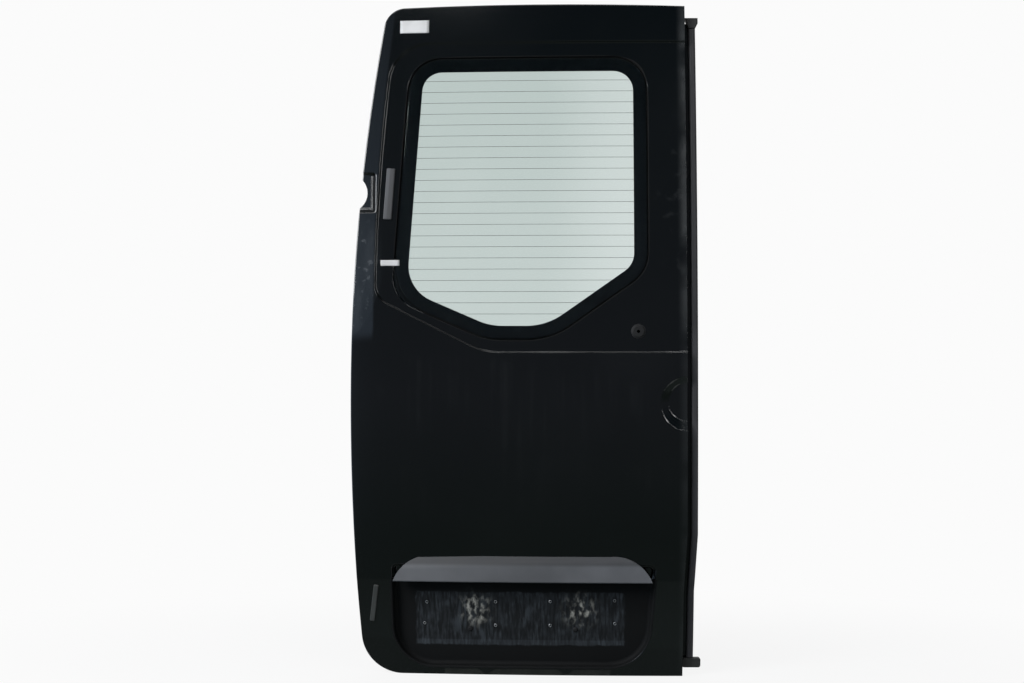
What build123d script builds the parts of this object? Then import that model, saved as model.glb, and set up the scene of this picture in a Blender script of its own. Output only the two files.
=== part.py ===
from build123d import *
import os
from functools import cache
from math import atan, degrees, hypot, radians, sqrt, tan

# A left-hand rear barn door leaf of a campervan: bowed outer skin, bonded heated window, pressed inner panel,
# centre seal, number-plate lamp trim and the passive leaf's bolts. Millimetres, +X to the closing edge,
# outer face towards -Y, +Z up. The origin is the middle of the upper hinge plate's flat face.

# Sheet and fits
SHEET = 1.5
SEAT = 0.25

# Bow of the outer face: a ball, cut by a second ball below the crease
BOW_RADIUS = 6600
FACE_AHEAD = 113
CREST_Z = -596
CREASE_Z = -974
LOWER_TILT = 8

# Outline of the leaf, seen from outside
SKIN_RIGHT = 793
DOOR_TOP = 480
TOP_CROWN = 6
DOOR_BOTTOM = -1217
LEFT_X = -50
LEFT_Z = -524
LEFT_UPPER_RADIUS = 5700
LEFT_LOWER_RADIUS = 6900
TOP_CORNER = 55
BOTTOM_CORNER = 105
JOG = 9
JOG_TOP_Z = -860
JOG_BOTTOM_Z = -1000
EDGE_ROUND = 2.5
RETURN_DEPTH = 16
HEM_LIP = 14

# Window band, a shallow step that runs out at the closing edge
BAND_DEPTH = 7
BAND_TOP = 382
BAND_BOTTOM = -403
BAND_TOP_LEFT = 54
BAND_LEFT = 11
BAND_BOW = 9
BAND_KNEE_Z = -266
BAND_KNEE_X = 284
BAND_TOP_CORNER = 105
BAND_LOW_CORNER = 55
BAND_KNEE_ROUND = 180
BAND_LIP = 3
BAND_FOOT = 3.5

# Window: clear glass, black border, bonding flange
CLEAR_TOP = 308
CLEAR_BOTTOM = -337
CLEAR_RIGHT = 661
CLEAR_TOP_LEFT = 131
CLEAR_LEFT = 90
CLEAR_LEFT_Z = -246
CLEAR_RIGHT_Z = -183
CLEAR_KNEE_LEFT = 300
CLEAR_KNEE_RIGHT = 441
CLEAR_TOP_CORNER = 50
CLEAR_SIDE_CORNER = 55
CLEAR_KNEE_ROUND = 160
BORDER = 32
GLASS_THICK = 4
BEAD_THICK = 4
BEAD_WIDTH = 12
BEAD_INSET = 8
PANE_GAP = 4
REBATE_LIP = 2
REBATE_FOOT = 2
FLANGE_REACH = 7
TERMINAL_Z = -150
TERMINAL_OFF = 5
TERMINAL_WIDTH = 9
TERMINAL_LENGTH = 20
TERMINAL_THICK = 4
TERMINAL_CORNER = 2

# Number-plate recess and the lamp trim over it
RECESS_LEFT = 55
RECESS_RIGHT = 713
RECESS_TOP = -936
RECESS_BOTTOM = -1194
RECESS_DEPTH = 22
RECESS_LEFT_LEAN = 7
RECESS_RIGHT_LEAN = 19
RECESS_CORNER = 102
RECESS_TOP_CORNER = 12
RECESS_LIP = 3.5
RECESS_FOOT = 9
TRIM_TOP = -913
TRIM_BOTTOM = -976
TRIM_LEFT = 57
TRIM_RIGHT = 705
TRIM_END = 104
TRIM_END_BULGE = 15
TRIM_PROUD = 26
TRIM_CREASE_DROP = 20
TRIM_CREASE_PROUD = 14
TRIM_WALL = 3
TRIM_RIDGE_ROUND = 40
TRIM_EDGE_ROUND = 2.5
LAMP_LENGTH = 62
LAMP_WIDTH = 15
LAMP_HEIGHT = 4
LAMP_CORNER = 4
LAMP_ROUND = 1
LAMP_SPREAD = 260
HOLE_PLUG_LEFT = 249
HOLE_PLUG_RIGHT = 515
HOLE_PLUG_Z = -1105
HOLE_PLUG_RADIUS = 7
HOLE_PLUG_FLAT = 3.5
HOLE_PLUG_PROUD = 3

# Half-round finger dish at the closing edge
DISH_Z = -532
DISH_RADIUS = 68
DISH_FLOOR_RADIUS = 48
DISH_RISE = 7
DISH_DEPTH = 10
DISH_ROUND = 10

# Hinge pocket in the skin and hinge plates on the inner panel's side
HINGE_DROP = 1038
LOWER_HINGE_X = -6
LOWER_HINGE_BACK = 6
PLATE_HEIGHT = 116
PLATE_DEPTH = 32
PLATE_CORNER = 8
HINGE_HOLE_RADIUS = 4.5
HINGE_HOLE_Y = 16
HINGE_HOLE_Z = 84
POCKET_TOP = 48
POCKET_BOTTOM = -50
POCKET_IN = 11
POCKET_DEPTH = 9
POCKET_CORNER = 6
POCKET_ROUND = 3
POCKET_ARC_RADIUS = 48
POCKET_ARC_IN = 16

# Stop pads on the outer face
UPPER_PAD_X = 46
UPPER_PAD_Z = -4
UPPER_PAD_WIDTH = 22
UPPER_PAD_LENGTH = 131
UPPER_PAD_LEAN = 4
PAD_PROUD = 5
PAD_CORNER = 3
PAD_ROUND = 2.5
LOWER_PAD_X = 9
LOWER_PAD_Z = -1035
LOWER_PAD_WIDTH = 13
LOWER_PAD_LENGTH = 94
LOWER_PAD_LEAN = 7

# Plug in the wiper hole
PLUG_X = 671
PLUG_Z = -351
PLUG_RADIUS = 18.5
PLUG_STEM_RADIUS = 13
PLUG_PROUD = 4
PLUG_BORE_RADIUS = 4
PLUG_STEM = 6
PLUG_RIM = 1.25

# Inner panel
WALL_INSET = 34
BOTTOM_INSET = 19.5
BOTTOM_MARGIN = 20
INNER_DEPTH = 62
REVEAL_REACH = 10
LINING_LEFT = 110
LINING_RIGHT = 655
LINING_TOP = -480
LINING_BOTTOM = -880
LINING_CORNER = 38
LINING_THICK = 4
LINING_ROUND = 1.5
BEAM_Z = -440
BEAM_HEIGHT = 56
BEAM_DEPTH = 30
BEAM_LENGTH = 740

# Seal at the closing edge
CARRIER_REACH = 20
CARRIER_DEPTH = 30
CARRIER_LEG = 16
SEAL_START = 11
SEAL_REACH = 28
SEAL_FRONT = 18
SEAL_BACK = 36
SEAL_TOP = 446
SEAL_BOTTOM = -1173
SEAL_CAP_HEIGHT = 28
SEAL_CAP_REACH = 35
SEAL_FOOT_HEIGHT = 25
SEAL_FOOT_REACH = 47
SEAL_FOOT_CORNER = 6
SEAL_ROUND = 5
SEAL_END_ROUND = 3

# Bolts of the leaf: lever, rods and latches on the inner face
ROD_X = 715
ROD_WIDTH = 10
ROD_THICK = 4
ROD_LIFT = 8
LEVER_Z = -530
LATCH_WIDTH = 64
LATCH_HEIGHT = 70
LATCH_THICK = 24
UPPER_LATCH_Z = 398
LOWER_LATCH_Z = -1130
BOLT_WIDTH = 18
BOLT_THICK = 6
BOLT_OUT = 16
BRACKET_WIDTH = 62
BRACKET_HEIGHT = 120
LEVER_WIDTH = 30
LEVER_LENGTH = 130
LEVER_THICK = 18
LEVER_CORNER = 10
FITTING_CORNER = 8
FITTING_WALL = 3
FITTING_ROUND = 2.5
LEVER_ROUND = 5
MOUTH_DROP = 17.5
BOLT_CORNER = 6
GUIDE_WIDTH = 22
GUIDE_HEIGHT = 16
GUIDE_HEIGHTS = (180, -160, -760, -960)

# Buffers, blanking plugs and the wiring gland
BUFFER_X = 560
UPPER_BUFFER_Z = 385
LOWER_BUFFER_Z = -1130
BUFFER_RADIUS = 15
BUFFER_HEIGHT = 15
BUFFER_COLLAR = 5
BUFFER_TIP_RADIUS = 10
BLANK_Z = -925
BLANK_PLACES = (150, 330, 520)
BLANK_RADIUS = 17
BLANK_PROUD = 4
GLAND_Z = 230
GLAND_DEPTH = 40
GLAND_RADIUS = 19
GLAND_NECK_RADIUS = 13
GLAND_BORE_RADIUS = 8
GLAND_LENGTH = 16
GLAND_COLLAR = 4.5

# Working block that everything lies in
BLOCK_LEFT = -150
BLOCK_RIGHT = 950
BLOCK_FRONT = -400
BLOCK_BACK = 400
BLOCK_LOW = -1400
BLOCK_HIGH = 650
REACH = 350

# The second ball meets the first in the crease and leans the lower band in
bow_centre_y = BOW_RADIUS - FACE_AHEAD
crease_reach = sqrt(BOW_RADIUS**2 - (CREST_Z - CREASE_Z) ** 2)
lower_centre_z = CREASE_Z + crease_reach * tan(radians(LOWER_TILT))
lower_radius = hypot(crease_reach, lower_centre_z - CREASE_Z)


@cache
def bow(depth):
    """Everything behind a surface that runs parallel to the outer face, depth behind it."""
    with BuildPart() as behind:
        with Locations((BLOCK_LEFT, BLOCK_FRONT, BLOCK_LOW)):
            corner = (Align.MIN, Align.MIN, Align.MIN)
            Box(BLOCK_RIGHT - BLOCK_LEFT, BLOCK_BACK - BLOCK_FRONT, BLOCK_HIGH - BLOCK_LOW, align=corner)
        with Locations((SKIN_RIGHT, bow_centre_y, CREST_Z)):
            Sphere(BOW_RADIUS - depth, mode=Mode.INTERSECT)
        with Locations((SKIN_RIGHT, bow_centre_y, lower_centre_z)):
            Sphere(lower_radius - depth, mode=Mode.INTERSECT)
    return behind.part


def slab(outline, near, far):
    """The piece of the door inside a front outline, between two depths behind the outer face."""
    with BuildPart() as piece:
        extrude(outline, amount=REACH, both=True)
        add(bow(near), mode=Mode.INTERSECT)
        add(bow(far), mode=Mode.SUBTRACT)
    return piece.part


def grown(outline, amount):
    """A front outline moved outwards, or inwards where the amount is negative."""
    if amount == 0:
        return outline
    return offset(outline, amount=amount, kind=Kind.INTERSECTION, mode=Mode.PRIVATE)


def face_y(x, z):
    """Y of the outer face at a place in the front view."""
    upper = bow_centre_y - sqrt(BOW_RADIUS**2 - (x - SKIN_RIGHT) ** 2 - (z - CREST_Z) ** 2)
    lower = bow_centre_y - sqrt(lower_radius**2 - (x - SKIN_RIGHT) ** 2 - (z - lower_centre_z) ** 2)
    return max(upper, lower)


def depth_behind(place):
    """How far a place lies behind the outer face."""
    upper = BOW_RADIUS - (place - Vector(SKIN_RIGHT, bow_centre_y, CREST_Z)).length
    lower = lower_radius - (place - Vector(SKIN_RIGHT, bow_centre_y, lower_centre_z)).length
    return min(upper, lower)


def face_plane(x, z, depth):
    """A plane on the door's bow at a depth, its normal pointing out of the outer face."""
    centre_z = CREST_Z if z > CREASE_Z else lower_centre_z
    outward = Vector(x - SKIN_RIGHT, face_y(x, z) - bow_centre_y, z - centre_z).normalized()
    return Plane(Vector(x, face_y(x, z), z) - outward * depth, x_dir=(1, 0, 0), z_dir=outward)


def left_at(z):
    """X of the leaf's left side at a height."""
    radius = LEFT_UPPER_RADIUS if z > LEFT_Z else LEFT_LOWER_RADIUS
    return LEFT_X + radius - sqrt(radius**2 - (z - LEFT_Z) ** 2)


def box_outline(x, z, width, height, corner=0.0):
    """A rectangle of the front view about its centre."""
    with BuildSketch(Plane.XZ) as rectangle:
        with Locations((x, z)):
            if corner:
                RectangleRounded(width, height, corner)
            else:
                Rectangle(width, height)
    return rectangle.sketch


def edge_strip(start, stop, top, bottom):
    """A strip of the front view along the closing edge, which follows the edge's jog."""
    low = SKIN_RIGHT - JOG
    with BuildSketch(Plane.XZ) as strip:
        with BuildLine():
            Polyline(
                (SKIN_RIGHT + start, top),
                (SKIN_RIGHT + stop, top),
                (SKIN_RIGHT + stop, JOG_TOP_Z),
                (low + stop, JOG_BOTTOM_Z),
                (low + stop, bottom),
                (low + start, bottom),
                (low + start, JOG_BOTTOM_Z),
                (SKIN_RIGHT + start, JOG_TOP_Z),
                close=True,
            )
        make_face()
    return strip.sketch


def nearest(outline, x, z):
    """The corner of a front outline that lies closest to a place."""
    return outline.vertices().sort_by_distance(Vertex(x, z))[0]


# Front outlines
top_side = DOOR_TOP - TOP_CROWN
with BuildSketch(Plane.XZ) as leaf:
    with BuildLine():
        ThreePointArc(
            (left_at(DOOR_BOTTOM), DOOR_BOTTOM),
            (left_at((DOOR_BOTTOM + LEFT_Z) / 2), (DOOR_BOTTOM + LEFT_Z) / 2),
            (LEFT_X, LEFT_Z),
        )
        ThreePointArc(
            (LEFT_X, LEFT_Z),
            (left_at((top_side + LEFT_Z) / 2), (top_side + LEFT_Z) / 2),
            (left_at(top_side), top_side),
        )
        ThreePointArc(
            (left_at(top_side), top_side),
            ((left_at(top_side) + SKIN_RIGHT) / 2, DOOR_TOP),
            (SKIN_RIGHT, top_side),
        )
        Polyline(
            (SKIN_RIGHT, top_side),
            (SKIN_RIGHT, JOG_TOP_Z),
            (SKIN_RIGHT - JOG, JOG_BOTTOM_Z),
            (SKIN_RIGHT - JOG, DOOR_BOTTOM),
            (left_at(DOOR_BOTTOM), DOOR_BOTTOM),
        )
    make_face()
    fillet(nearest(leaf, left_at(top_side), top_side), TOP_CORNER)
    fillet(nearest(leaf, left_at(DOOR_BOTTOM), DOOR_BOTTOM), BOTTOM_CORNER)

with BuildSketch(Plane.XZ) as band:
    with BuildLine():
        ThreePointArc(
            (BAND_TOP_LEFT, BAND_TOP),
            ((BAND_TOP_LEFT + BAND_LEFT) / 2 - BAND_BOW, (BAND_TOP + BAND_KNEE_Z) / 2),
            (BAND_LEFT, BAND_KNEE_Z),
        )
        Polyline(
            (BAND_LEFT, BAND_KNEE_Z),
            (BAND_KNEE_X, BAND_BOTTOM),
            (BLOCK_RIGHT, BAND_BOTTOM),
            (BLOCK_RIGHT, BAND_TOP),
            (BAND_TOP_LEFT, BAND_TOP),
        )
    make_face()
    fillet(nearest(band, BAND_TOP_LEFT, BAND_TOP), BAND_TOP_CORNER)
    fillet(nearest(band, BAND_LEFT, BAND_KNEE_Z), BAND_LOW_CORNER)
    fillet(nearest(band, BAND_KNEE_X, BAND_BOTTOM), BAND_KNEE_ROUND)

with BuildSketch(Plane.XZ) as clear:
    with BuildLine():
        Polyline(
            (CLEAR_TOP_LEFT, CLEAR_TOP),
            (CLEAR_RIGHT, CLEAR_TOP),
            (CLEAR_RIGHT, CLEAR_RIGHT_Z),
            (CLEAR_KNEE_RIGHT, CLEAR_BOTTOM),
            (CLEAR_KNEE_LEFT, CLEAR_BOTTOM),
            (CLEAR_LEFT, CLEAR_LEFT_Z),
            close=True,
        )
    make_face()
    fillet(nearest(clear, CLEAR_TOP_LEFT, CLEAR_TOP), CLEAR_TOP_CORNER)
    fillet(nearest(clear, CLEAR_RIGHT, CLEAR_TOP), CLEAR_TOP_CORNER)
    fillet(nearest(clear, CLEAR_RIGHT, CLEAR_RIGHT_Z), CLEAR_SIDE_CORNER)
    fillet(nearest(clear, CLEAR_LEFT, CLEAR_LEFT_Z), CLEAR_SIDE_CORNER)
    fillet(nearest(clear, CLEAR_KNEE_RIGHT, CLEAR_BOTTOM), CLEAR_KNEE_ROUND)
    fillet(nearest(clear, CLEAR_KNEE_LEFT, CLEAR_BOTTOM), CLEAR_KNEE_ROUND)

with BuildSketch(Plane.XZ) as recess:
    with BuildLine():
        Polyline(
            (RECESS_LEFT, RECESS_TOP),
            (RECESS_RIGHT, RECESS_TOP),
            (RECESS_RIGHT - RECESS_RIGHT_LEAN, RECESS_BOTTOM),
            (RECESS_LEFT + RECESS_LEFT_LEAN, RECESS_BOTTOM),
            close=True,
        )
    make_face()
    fillet(nearest(recess, RECESS_LEFT, RECESS_TOP), RECESS_TOP_CORNER)
    fillet(nearest(recess, RECESS_RIGHT, RECESS_TOP), RECESS_TOP_CORNER)
    fillet(nearest(recess, RECESS_RIGHT - RECESS_RIGHT_LEAN, RECESS_BOTTOM), RECESS_CORNER)
    fillet(nearest(recess, RECESS_LEFT + RECESS_LEFT_LEAN, RECESS_BOTTOM), RECESS_CORNER)

pane = grown(clear.sketch, BORDER)
rebate = grown(clear.sketch, BORDER + PANE_GAP)
aperture = grown(clear.sketch, FLANGE_REACH)


def wall_line(inset):
    """Front outline of the inner panel's side wall, which runs lower under the plate recess."""
    with BuildSketch(Plane.XZ) as below_recess:
        add(grown(leaf.sketch, -BOTTOM_INSET - inset))
        with Locations(((RECESS_LEFT + RECESS_RIGHT) / 2, RECESS_BOTTOM)):
            width = RECESS_RIGHT - RECESS_LEFT + 2 * BOTTOM_MARGIN - 2 * inset
            Rectangle(width, 2 * RECESS_CORNER, mode=Mode.INTERSECT)
    with BuildSketch(Plane.XZ) as line:
        add(grown(leaf.sketch, -WALL_INSET - inset))
        add(below_recess.sketch)
    return line.sketch


with BuildSketch(Plane.XZ) as pocket:
    with BuildLine():
        Polyline(
            (BLOCK_LEFT, POCKET_TOP),
            (POCKET_IN, POCKET_TOP),
            (POCKET_IN, POCKET_BOTTOM),
            (BLOCK_LEFT, POCKET_BOTTOM),
            close=True,
        )
    make_face()
    fillet(nearest(pocket, POCKET_IN, POCKET_TOP), POCKET_CORNER)
    fillet(nearest(pocket, POCKET_IN, POCKET_BOTTOM), POCKET_CORNER)

with BuildSketch(Plane.XZ) as pocket_arc:
    with Locations((left_at(0) + POCKET_ARC_IN - POCKET_ARC_RADIUS, (POCKET_TOP + POCKET_BOTTOM) / 2)):
        Circle(POCKET_ARC_RADIUS)

lower_hinge_y = face_y(LOWER_HINGE_X, -HINGE_DROP) - face_y(0, 0) + LOWER_HINGE_BACK
hinge_seats = [(0, 0, 0), (LOWER_HINGE_X, lower_hinge_y, -HINGE_DROP)]
flange_near = RETURN_DEPTH - 2 * SHEET - SEAT
flange_far = RETURN_DEPTH - SHEET - SEAT
rebate_depth = BEAD_THICK + GLASS_THICK
flange_back = BAND_DEPTH + rebate_depth + SHEET
gland_lean = (left_at(GLAND_Z + SHEET) - left_at(GLAND_Z - SHEET)) / (2 * SHEET)
gland_out = Vector(-1, 0, gland_lean).normalized()
gland_x = left_at(GLAND_Z)
gland_foot = Vector(gland_x, face_y(gland_x, GLAND_Z) + GLAND_DEPTH, GLAND_Z) - gland_out * WALL_INSET
gland_plane = Plane(gland_foot, x_dir=(0, 1, 0), z_dir=gland_out)


def ring(outline, width):
    """The rim of a front outline, of an even width."""
    with BuildSketch(Plane.XZ) as rim:
        add(outline)
        add(grown(outline, -width), mode=Mode.SUBTRACT)
    return rim.sketch


def runs_along(edge, outline, shallow, deep):
    """Whether an edge follows a front outline between two depths behind the outer face."""
    for share in (0.1, 0.5, 0.9):
        place = edge @ share
        seen = Vertex(place.X, 0, place.Z)
        if not shallow - SEAT < depth_behind(place) < deep + SEAT:
            return False
        if min(seen.distance_to(line) for line in outline.edges()) > SEAT:
            return False
    return True


def is_level(edge, depth):
    """Whether an edge lies at one depth behind the outer face and is not the crease."""
    off_depth = [abs(depth_behind(edge @ share) - depth) for share in (0, 0.5, 1)]
    crease = abs((edge @ 0).Z - (edge @ 1).Z) < SHEET and abs((edge @ 0.5).Z - CREASE_Z) < JOG
    return max(off_depth) < SEAT / 2 and not crease


def softened(block, depth, radius):
    """Rounds every edge of a block that lies at a depth behind the outer face."""
    with BuildPart() as soft:
        add(block)
        fillet(soft.edges().filter_by(lambda edge: is_level(edge, depth)), radius)
    return soft.part


def dish_cone(thick):
    """The dish as a solid cone frustum, or the same form a sheet's thickness further out."""
    lean = (DISH_RADIUS - DISH_FLOOR_RADIUS) / DISH_DEPTH
    lift = DISH_RISE / DISH_DEPTH
    moved = thick * hypot(1, lean)
    with BuildPart() as cone:
        for depth in (-DISH_DEPTH, DISH_DEPTH + thick):
            with BuildSketch(Plane.XZ.offset(FACE_AHEAD - depth)):
                with Locations((SKIN_RIGHT, DISH_Z + lift * depth)):
                    Circle(DISH_RADIUS - lean * depth + moved)
        loft()
    return cone.part


def depth_of_edge(edge):
    """How far the middle of an edge lies behind the outer face."""
    return depth_behind(edge @ 0.5)


def in_dish(edge):
    """Whether an edge runs round the dish, away from the closing edge."""
    place = edge @ 0.5
    inward = SKIN_RIGHT - DISH_FLOOR_RADIUS / 2 - place.X
    return abs(place.Z - DISH_Z) < DISH_RADIUS / 2 and 0 < inward < DISH_RADIUS


def on_hem(edge):
    """Whether an edge is the folded rim of the leaf, which stays sharp along the closing edge."""
    closing = abs((edge @ 0.5).X - SKIN_RIGHT + JOG / 2) < JOG
    return runs_along(edge, leaf.sketch, 0, DISH_DEPTH) and not closing


# Pressed steps of the outer face: outline, depth of its edge and of its floor, roundings of edge and foot
pressed_steps = [
    (pocket.sketch, 0, POCKET_DEPTH, POCKET_ROUND, POCKET_ROUND),
    (band.sketch, 0, BAND_DEPTH, BAND_LIP, BAND_FOOT),
    (rebate, BAND_DEPTH, BAND_DEPTH + rebate_depth, REBATE_LIP, REBATE_FOOT),
    (recess.sketch, 0, RECESS_DEPTH, RECESS_LIP, RECESS_FOOT),
]
pressing_far = RECESS_DEPTH + 2 * RETURN_DEPTH


def pressing(thick):
    """The leaf as a block behind its pressed outer face, or what a sheet of a thickness encloses."""
    with BuildPart() as block:
        add(slab(grown(leaf.sketch, -thick), thick, RETURN_DEPTH - thick))
        add(slab(grown(leaf.sketch, thick - HEM_LIP), RETURN_DEPTH / 2, pressing_far + thick))
        for outline, near, floor, _, _ in pressed_steps:
            add(slab(grown(outline, thick), near - floor, floor + thick), mode=Mode.SUBTRACT)
        add(dish_cone(thick), mode=Mode.SUBTRACT)
    return block.part


# Outer skin: one pressing with the window band, window rebate, plate recess, finger dish and hinge pocket
with BuildPart() as outer_skin:
    add(pressing(0))
    for outline, near, floor, lip, foot in pressed_steps:
        fillet(outer_skin.edges().filter_by(lambda edge: runs_along(edge, outline, near, near)), lip)
        fillet(outer_skin.edges().filter_by(lambda edge: runs_along(edge, outline, floor, floor)), foot)
    fillet(outer_skin.edges().filter_by(in_dish).sort_by(depth_of_edge)[0], DISH_ROUND)
    fillet(outer_skin.edges().filter_by(in_dish).sort_by(depth_of_edge)[-1], DISH_ROUND)
    fillet(outer_skin.edges().filter_by(on_hem), EDGE_ROUND)
    extrude(aperture, amount=REACH, both=True, mode=Mode.SUBTRACT)
    extrude(pocket_arc.sketch, amount=REACH, both=True, mode=Mode.SUBTRACT)
    with BuildSketch(face_plane(PLUG_X, PLUG_Z, BAND_DEPTH)):
        Circle(PLUG_STEM_RADIUS + SEAT)
    extrude(amount=pressing_far, both=True, mode=Mode.SUBTRACT)
    add(pressing(SHEET), mode=Mode.SUBTRACT)

# Inner panel: hem flange, side wall, inner face and window reveal
with BuildSketch(Plane.XZ) as hem_flange:
    add(grown(leaf.sketch, -SHEET - SEAT))
    add(wall_line(SHEET), mode=Mode.SUBTRACT)
    add(grown(pocket_arc.sketch, SHEET), mode=Mode.SUBTRACT)
reveal = grown(clear.sketch, REVEAL_REACH)
with BuildPart() as inner_panel:
    add(slab(wall_line(0), flange_near, INNER_DEPTH))
    add(slab(wall_line(SHEET), 0, INNER_DEPTH - SHEET), mode=Mode.SUBTRACT)
    add(slab(hem_flange.sketch, flange_near, flange_far))
    add(slab(ring(grown(reveal, SHEET), SHEET), flange_back + SEAT, INNER_DEPTH))
    add(slab(reveal, flange_back, INNER_DEPTH + SHEET), mode=Mode.SUBTRACT)
    for x, y, z in hinge_seats:
        with BuildSketch(Plane.YZ.offset(x)):
            with Locations((y, z)):
                with GridLocations(HINGE_HOLE_Y, HINGE_HOLE_Z, 2, 2):
                    Circle(HINGE_HOLE_RADIUS)
        extrude(amount=2 * WALL_INSET, both=True, mode=Mode.SUBTRACT)
    with BuildSketch(gland_plane):
        Circle(GLAND_BORE_RADIUS)
    extrude(amount=4 * SHEET, both=True, mode=Mode.SUBTRACT)


def hinge_plate(x, y, z):
    """A flat-faced hinge seat on the inner panel's side wall, drilled for the hinge bolts."""
    with BuildPart() as plate:
        with BuildSketch(Plane.YZ.offset(x)):
            with Locations((y, z)):
                RectangleRounded(PLATE_DEPTH, PLATE_HEIGHT, PLATE_CORNER)
        extrude(amount=WALL_INSET)
        extrude(wall_line(-SEAT), amount=REACH, both=True, mode=Mode.SUBTRACT)
        with BuildSketch(Plane.YZ.offset(x)):
            with Locations((y, z)):
                with GridLocations(HINGE_HOLE_Y, HINGE_HOLE_Z, 2, 2):
                    Circle(HINGE_HOLE_RADIUS)
        extrude(amount=WALL_INSET, mode=Mode.SUBTRACT)
    return plate


upper_hinge_plate = hinge_plate(*hinge_seats[0])
lower_hinge_plate = hinge_plate(*hinge_seats[1])

# Window: bonded pane on its bead
pane_far = BAND_DEPTH + GLASS_THICK
with BuildPart() as window_glass:
    add(slab(pane, BAND_DEPTH, pane_far))
with BuildPart() as window_bond_bead:
    bead_line = ring(grown(pane, -BEAD_INSET), BEAD_WIDTH)
    add(slab(bead_line, pane_far + SEAT / 2, BAND_DEPTH + rebate_depth - SEAT / 2))

# Beam below the window, on the inside of the inner panel
leaf_middle = (SKIN_RIGHT + LEFT_X) / 2
with BuildPart() as waist_beam:
    hat = box_outline(leaf_middle, BEAM_Z, BEAM_LENGTH, BEAM_HEIGHT)
    add(slab(hat, BEAM_DEPTH, INNER_DEPTH - SHEET - SEAT))
    channel = box_outline(leaf_middle, BEAM_Z, 2 * BEAM_LENGTH, BEAM_HEIGHT - 2 * SHEET)
    add(slab(channel, BEAM_DEPTH + SHEET, INNER_DEPTH + SHEET), mode=Mode.SUBTRACT)

# Fibre lining board over the lower half of the inner face
lining = box_outline(
    (LINING_LEFT + LINING_RIGHT) / 2,
    (LINING_TOP + LINING_BOTTOM) / 2,
    LINING_RIGHT - LINING_LEFT,
    LINING_TOP - LINING_BOTTOM,
    LINING_CORNER,
)
with BuildPart() as lining_board:
    lining_back = INNER_DEPTH + LINING_THICK
    add(softened(slab(lining, INNER_DEPTH + SEAT, lining_back), lining_back, LINING_ROUND))

# Seal at the closing edge: carrier strip, bulb seal and its moulded ends
wall_side = -WALL_INSET + SEAT
carrier_top = SEAL_TOP - SEAL_CAP_HEIGHT / 2
carrier_bottom = SEAL_BOTTOM - SEAL_FOOT_HEIGHT / 2
with BuildPart() as seal_carrier:
    blade = edge_strip(wall_side, CARRIER_REACH, carrier_top, carrier_bottom)
    add(slab(blade, CARRIER_DEPTH, CARRIER_DEPTH + SHEET))
    leg = edge_strip(wall_side, wall_side + SHEET, carrier_top, carrier_bottom)
    add(slab(leg, CARRIER_DEPTH, CARRIER_DEPTH + CARRIER_LEG))
slot = edge_strip(-SEAL_REACH, CARRIER_REACH + SEAT, BLOCK_HIGH, BLOCK_LOW)
grip = slab(slot, CARRIER_DEPTH - SEAT, CARRIER_DEPTH + SHEET + SEAT)
with BuildPart() as centre_seal:
    bulb = edge_strip(SEAL_START, SEAL_REACH, SEAL_TOP - SEAL_CAP_HEIGHT, SEAL_BOTTOM)
    bulb_front = softened(slab(bulb, SEAL_FRONT, SEAL_BACK), SEAL_FRONT, SEAL_ROUND)
    add(softened(bulb_front, SEAL_BACK, SEAL_ROUND))
    add(grip, mode=Mode.SUBTRACT)
with BuildSketch(Plane.XZ) as cap_outline:
    with BuildLine():
        Polyline(
            (SKIN_RIGHT + SHEET, SEAL_TOP),
            (SKIN_RIGHT + SEAL_CAP_REACH, SEAL_TOP),
            (SKIN_RIGHT + SEAL_CAP_REACH, SEAL_TOP - SEAL_CAP_HEIGHT / 2),
            (SKIN_RIGHT + SEAL_REACH, SEAL_TOP - SEAL_CAP_HEIGHT + SEAT),
            (SKIN_RIGHT + SEAL_START, SEAL_TOP - SEAL_CAP_HEIGHT + SEAT),
            close=True,
        )
    make_face()
with BuildPart() as seal_top_cap:
    add(softened(slab(cap_outline.sketch, SEAL_FRONT, SEAL_BACK), SEAL_FRONT, SEAL_END_ROUND))
    add(grip, mode=Mode.SUBTRACT)
foot_x = SKIN_RIGHT - JOG + SEAL_FOOT_REACH / 2
foot_z = SEAL_BOTTOM - SEAT - SEAL_FOOT_HEIGHT / 2
foot_outline = box_outline(foot_x, foot_z, SEAL_FOOT_REACH, SEAL_FOOT_HEIGHT, SEAL_FOOT_CORNER)
with BuildPart() as seal_foot:
    add(softened(slab(foot_outline, SEAL_FRONT, SEAL_BACK), SEAL_FRONT, SEAL_END_ROUND))
    add(grip, mode=Mode.SUBTRACT)


def leaning_ball(z, proud, tilt):
    """A ball like the outer face's, turned about a level line so that it leans out towards its lower side."""
    x = (TRIM_LEFT + TRIM_RIGHT) / 2
    pivot_y = face_y(x, z) - proud
    with BuildPart() as ball:
        with Locations((SKIN_RIGHT, bow_centre_y, CREST_Z)):
            Sphere(BOW_RADIUS)
    turned = ball.part.rotate(Axis((x, face_y(x, z), z), (1, 0, 0)), -tilt)
    return Pos(0, pivot_y - face_y(x, z), 0) * turned


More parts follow.
